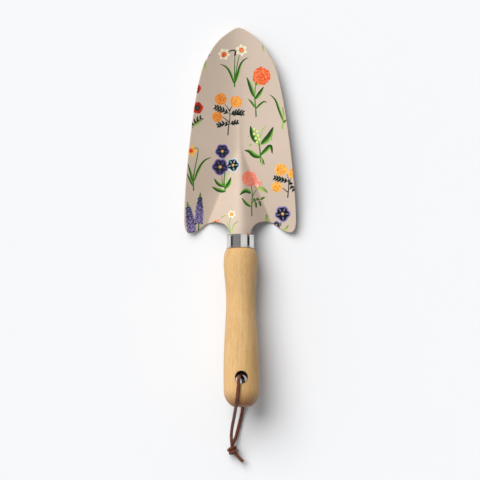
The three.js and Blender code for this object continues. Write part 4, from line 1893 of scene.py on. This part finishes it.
@dataclass
class Lanyard:
    """One cut lace through the hole: two legs, tied together in a knot, with two short tails."""

    diameter: float = 2.7
    flatness: float = 0.84
    corner_power: float = 3.2
    knot_centre: Triple = (-7.8, -197.6, 5.6)
    knot_along: Triple = (0.382, -0.924, 0.0)
    wrap_ends: Point = (-0.36, 1.42)
    wrap_size: Point = (3.2, 4.1)
    tuck_over: float = 0.16
    end_bevel: float = 0.22
    step: float = 0.75
    section_sides: int = 20

    def knot(self, *turns: Triple) -> list[tuple[float, ...]]:
        """Places points of the knot.

        Args:
            *turns: along the tails, aside, and up, from the knot's centre.

        Returns:
            The points in the row's frame, in millimetres.
        """
        along = np.array(self.knot_along)
        aside = np.array((-along[1], along[0], 0.0))
        up = np.array((0.0, 0.0, 1.0))
        centre = np.array(self.knot_centre)
        return [tuple(centre + t * along + s * aside + n * up) for t, s, n in turns]

    def upper_path(self) -> np.ndarray:
        """Runs from the middle of the hole over the butt and through the knot to the upper tail.

        Returns:
            The points, in millimetres.
        """
        core = self.knot((-4.0, 0.8, 2.2), (-1.4, 0.1, 1.5), (1.6, 0.0, 1.4))
        route = [*THROUGH_HOLE[4::-1], *UPPER_LEG[::-1], *core, *UPPER_TAIL]
        return even_line(smooth_line(route, 12), self.step)

    def wrap_path(self) -> np.ndarray:
        """Runs round both legs in slanting turns, each end tucked in between them.

        Returns:
            The points, in millimetres.
        """
        first, last = self.wrap_ends
        wide, high = self.wrap_size
        turns = np.linspace(first, last, 60)
        tuck = np.clip(np.minimum(turns - first, last - turns) / self.tuck_over, 0, 1) ** 0.7
        angle = math.tau * turns
        along = 1.9 - 3.0 * turns + np.sin(angle - 0.7)
        aside = wide * np.sin(angle) * (0.45 + 0.55 * tuck) - 0.2
        up = high * np.cos(angle) * (0.4 + 0.6 * tuck)
        return even_line(np.array(self.knot(*zip(along, aside, up, strict=True))), 0.5)

    def lower_path(self) -> np.ndarray:
        """Runs from the middle of the hole under the butt and through the knot to the lower tail.

        Returns:
            The points, in millimetres.
        """
        core = self.knot((-4.9, 2.0, -2.0), (-2.4, 0.3, -1.5), (0.0, 0.0, -1.4), (2.4, 0.0, -1.4))
        route = [*THROUGH_HOLE[4:], *LOWER_LEG, *core, *LOWER_TAIL]
        return even_line(smooth_line(route, 12), self.step)

    def section(self, bm: BMesh) -> list[BMEdge]:
        """Starts the lace's section: a square with well-rounded corners.

        Args:
            bm: the mesh in work.

        Returns:
            The section's edges.
        """
        made = bmesh.ops.create_circle(bm, cap_ends=False, segments=self.section_sides, radius=1)["verts"]
        for vert in made:
            x, y = vert.co.x, vert.co.y
            size = (abs(x) ** self.corner_power + abs(y) ** self.corner_power) ** (-1 / self.corner_power)
            vert.co = (x * size * self.diameter / 2, y * size * self.diameter / 2 * self.flatness, 0)
        return list(bm.edges)

    def build(self, name: str, path: np.ndarray, finish: Material, twist: float) -> Object:
        """Sweeps the section along a path.

        Args:
            name: the piece's name.
            path: its middle line, in millimetres.
            finish: its material.
            twist: how far it turns about itself over its length, in radians.

        Returns:
            The lace.
        """
        ahead = np.gradient(path, axis=0)
        ahead /= np.linalg.norm(ahead, axis=1)[:, None]
        steep = abs(ahead[0][2]) > 0.9
        aside = np.cross(ahead[0], (0.0, 1.0, 0.0) if steep else (0.0, 0.0, 1.0))
        bm = bmesh.new()
        run = bm.verts.layers.float.new("lace_run")
        edges = self.section(bm)
        before, last = Matrix.Identity(4), len(path) - 1
        for number, (place, forward) in enumerate(zip(path, ahead, strict=True)):
            aside = aside - forward * (aside @ forward)
            aside /= np.linalg.norm(aside)
            turn = Matrix.Rotation(twist * number / last, 4, "Z")
            # Cut by hand, the lace is a little thicker here and thinner there.
            size = Matrix.Scale(1 + 0.025 * math.sin(number * 0.35) + 0.015 * math.sin(number * 0.91), 4)
            facing = Matrix(np.stack([aside, np.cross(forward, aside), forward], axis=1)).to_4x4()
            after = Matrix.Translation(place) @ facing @ turn @ size
            edges, verts = extruded(bm, edges) if number else (edges, list(bm.verts))
            bmesh.ops.transform(bm, matrix=after @ before.inverted(), verts=verts)
            for vert in verts:
                vert[run] = number * self.step
            before = after
        bmesh.ops.holes_fill(bm, edges=bm.edges, sides=self.section_sides)
        caps = [f for f in bm.faces if len(f.verts) == self.section_sides]
        rims = list({e for f in caps for e in f.edges})
        bmesh.ops.bevel(
            bm, geom=rims, offset=self.end_bevel, affect="EDGES", segments=2, profile=0.5, material=-1
        )
        bmesh.ops.scale(bm, vec=(MM, MM, MM), verts=bm.verts)
        bmesh.ops.recalc_face_normals(bm, faces=bm.faces)
        made = piece(bm, name, finish)
        self._mark(made, path)
        return made

    def _mark(self, made: Object, path: np.ndarray) -> None:
        """Keeps how near a corner each place is, and whether it is on a cut side.

        Args:
            made: the lace.
            path: its middle line, in millimetres.
        """
        spot = places(made)
        index, away = nearest(path, spot)
        corner = np.clip((away / (self.diameter / 2) - 0.93) / 0.16, 0, 1)
        spread_value(made, "corner", corner)
        offset = spot - path[index]
        round_at = np.arctan2(offset[:, 2], np.hypot(offset[:, 0], offset[:, 1]))
        spread_value(made, "lace_round", round_at * 3.0)
        spread_value(made, "cut_side", np.clip(np.cos(round_at) ** 2, 0, 1))

    def declare(self, made: Object, path: np.ndarray, on_it: list[Object]) -> None:
        """Does nothing with a lace.

        Args:
            made: the lace; not used.
            path: its middle line, in millimetres; not used.
            on_it: the pieces on it; not used.
        """


# ---------- studio ----------


@dataclass
class Studio:
    """A pale floor, one large soft light from the upper left, and a camera straight above."""

    view_width: float = 0.408
    lens: float = 800.0
    sensor: float = 36.0
    roll: float = math.radians(-0.45)
    view_centre: Point = (-0.0003, -0.0195)
    key_strength: float = 3.3
    key_spread: float = math.radians(46)
    key_lean: float = math.radians(41)
    key_bearing: float = math.radians(52)
    sky: float = 0.44
    sky_lean: float = 0.9
    # Where the bands of the room that bright metal mirrors begin and end, in radians from overhead.
    west_wall: Point = (-1.24, -1.10)
    west_ceiling: Point = (-0.32, -0.1)
    east_window: Point = (0.02, 0.1)
    east_post: tuple[Point, Point] = ((1.02, 1.08), (1.52, 1.46))
    floor_half: float = 24.0
    floor_gap: float = 0.00005

    def camera(self) -> None:
        """Puts the camera over the object."""
        data = bpy.data.cameras.new("studio_camera")
        data.lens, data.sensor_width = self.lens, self.sensor
        data.clip_start, data.clip_end = 0.05, 100.0
        made = bpy.data.objects.new("studio_camera", data)
        made.location = (*self.view_centre, self.view_width * self.lens / self.sensor)
        made.rotation_euler = (0.0, 0.0, self.roll)
        bpy.context.scene.collection.objects.link(made)
        bpy.context.scene.camera = made

    def light(self) -> None:
        """Sets the soft light and the room."""
        self._key()
        world = bpy.data.worlds.new("studio_room")
        world.use_nodes = True
        bench = Bench(world.node_tree)
        output = world.node_tree.nodes["World Output"]
        room = world.node_tree.nodes["Background"]
        room.inputs["Color"].default_value = (0.985, 0.99, 1.0, 1.0)
        east, north, up = bench.parts(bench.node("TexCoord", {}).outputs["Generated"])
        lean = bench.less(bench.times(north, 0.6), bench.times(east, 0.8))
        levels = (self.sky * (1 - self.sky_lean), self.sky * (1 + self.sky_lean))
        world.node_tree.links.new(bench.range(lean, -1.0, 1.0, levels), room.inputs["Strength"])
        sideways = bench.maths("ARCTAN2", east, up)
        shade = bench.range(sideways, *self.west_wall, (0.05, 0.30))
        shade = bench.times(shade, bench.range(sideways, *self.west_ceiling, (1.0, 0.8)))
        shade = bench.add(shade, bench.range(sideways, *self.east_window, (0.0, 0.62)))
        post_from, post_to = self.east_post
        post = bench.times(bench.range(sideways, *post_from), bench.range(sideways, *post_to))
        shade = bench.times(shade, bench.less(1.0, bench.times(post, 0.96)))
        seen = bench.node("Background", {"Color": (1.0, 0.985, 0.965, 1.0), "Strength": shade})
        ray = bench.node("LightPath", {})
        shaders = {0: ray.outputs["Is Glossy Ray"], 1: room.outputs[0], 2: seen.outputs[0]}
        both = bench.node("MixShader", shaders)
        world.node_tree.links.new(both.outputs[0], output.inputs["Surface"])
        bpy.context.scene.world = world
        bpy.context.scene.view_settings.view_transform = "Standard"

    def _key(self) -> None:
        """Adds the large soft light, which leans over from the upper left."""
        data = bpy.data.lights.new("key_light", "SUN")
        data.energy, data.angle = self.key_strength, self.key_spread
        data.color = (1.0, 0.995, 0.985)
        made = bpy.data.objects.new("key_light", data)
        level, bearing = math.sin(self.key_lean), self.key_bearing
        place = Vector((-level * math.cos(bearing), level * math.sin(bearing), math.cos(self.key_lean)))
        made.location = place
        made.rotation_euler = (-place).to_track_quat("-Z", "Y").to_euler()
        made.visible_glossy = False
        bpy.context.scene.collection.objects.link(made)

    def floor(self, finish: Material) -> None:
        """Lays the paper floor.

        Args:
            finish: its material.
        """
        bm = bmesh.new()
        bmesh.ops.create_grid(bm, x_segments=24, y_segments=24, size=self.floor_half)
        made = piece(bm, "paper_floor", finish)
        made.location.z = -self.floor_gap


# ---------- assembly ----------


def main() -> None:
    """Builds the trowel, the lanyard and the studio in order."""
    logging.basicConfig(level=logging.INFO, format="%(name)s: %(message)s")
    for extra in list(bpy.context.scene.objects):
        if extra.type in ("CAMERA", "LIGHT"):
            bpy.data.objects.remove(extra)
    effects, studio, lanyard = Effects(), Studio(), Lanyard()
    studio.camera()
    leather = CutLeather().build(effects)
    knot = lanyard.build("lace_knot", lanyard.wrap_path(), leather, 0.0)
    fit_to_frame(knot, "lanyard", ["lanyard_knot"])
    for name, path, twist, nodes in (
        ("lace_upper", lanyard.upper_path(), 1.1, ("lanyard_loop", "lanyard_tail_upper")),
        ("lace_lower", lanyard.lower_path(), -0.5, ("lanyard_loop", "lanyard_tail_lower")),
    ):
        lace = fit_to_frame(lanyard.build(name, path, leather, twist), "lanyard", nodes)
        lanyard.declare(lace, path, [knot] if name == "lace_upper" else [])

    line, steel = HandleLine(), WeldedSteel().build(effects)
    lacquer = PrintedLacquer().build(effects)
    fit_to_frame(Blade().build(lacquer), "trowel", ["blade"])
    fit_to_frame(Ferrule(line).build(ChromePlate().build(effects)), "trowel", ["ferrule"])
    wood = TurnedWood(tilt=line.tilt).build(effects)
    fit_to_frame(Handle(line).build(wood), "trowel", ["handle"])
    tang = Tang(line)
    fit_to_frame(tang.build_rod(steel), "trowel", ["tang"])
    fit_to_frame(tang.build_welds(steel), "trowel", ["tang"])

    studio.floor(StudioPaper().build(effects))
    studio.light()


if __name__ == "__main__":
    main()
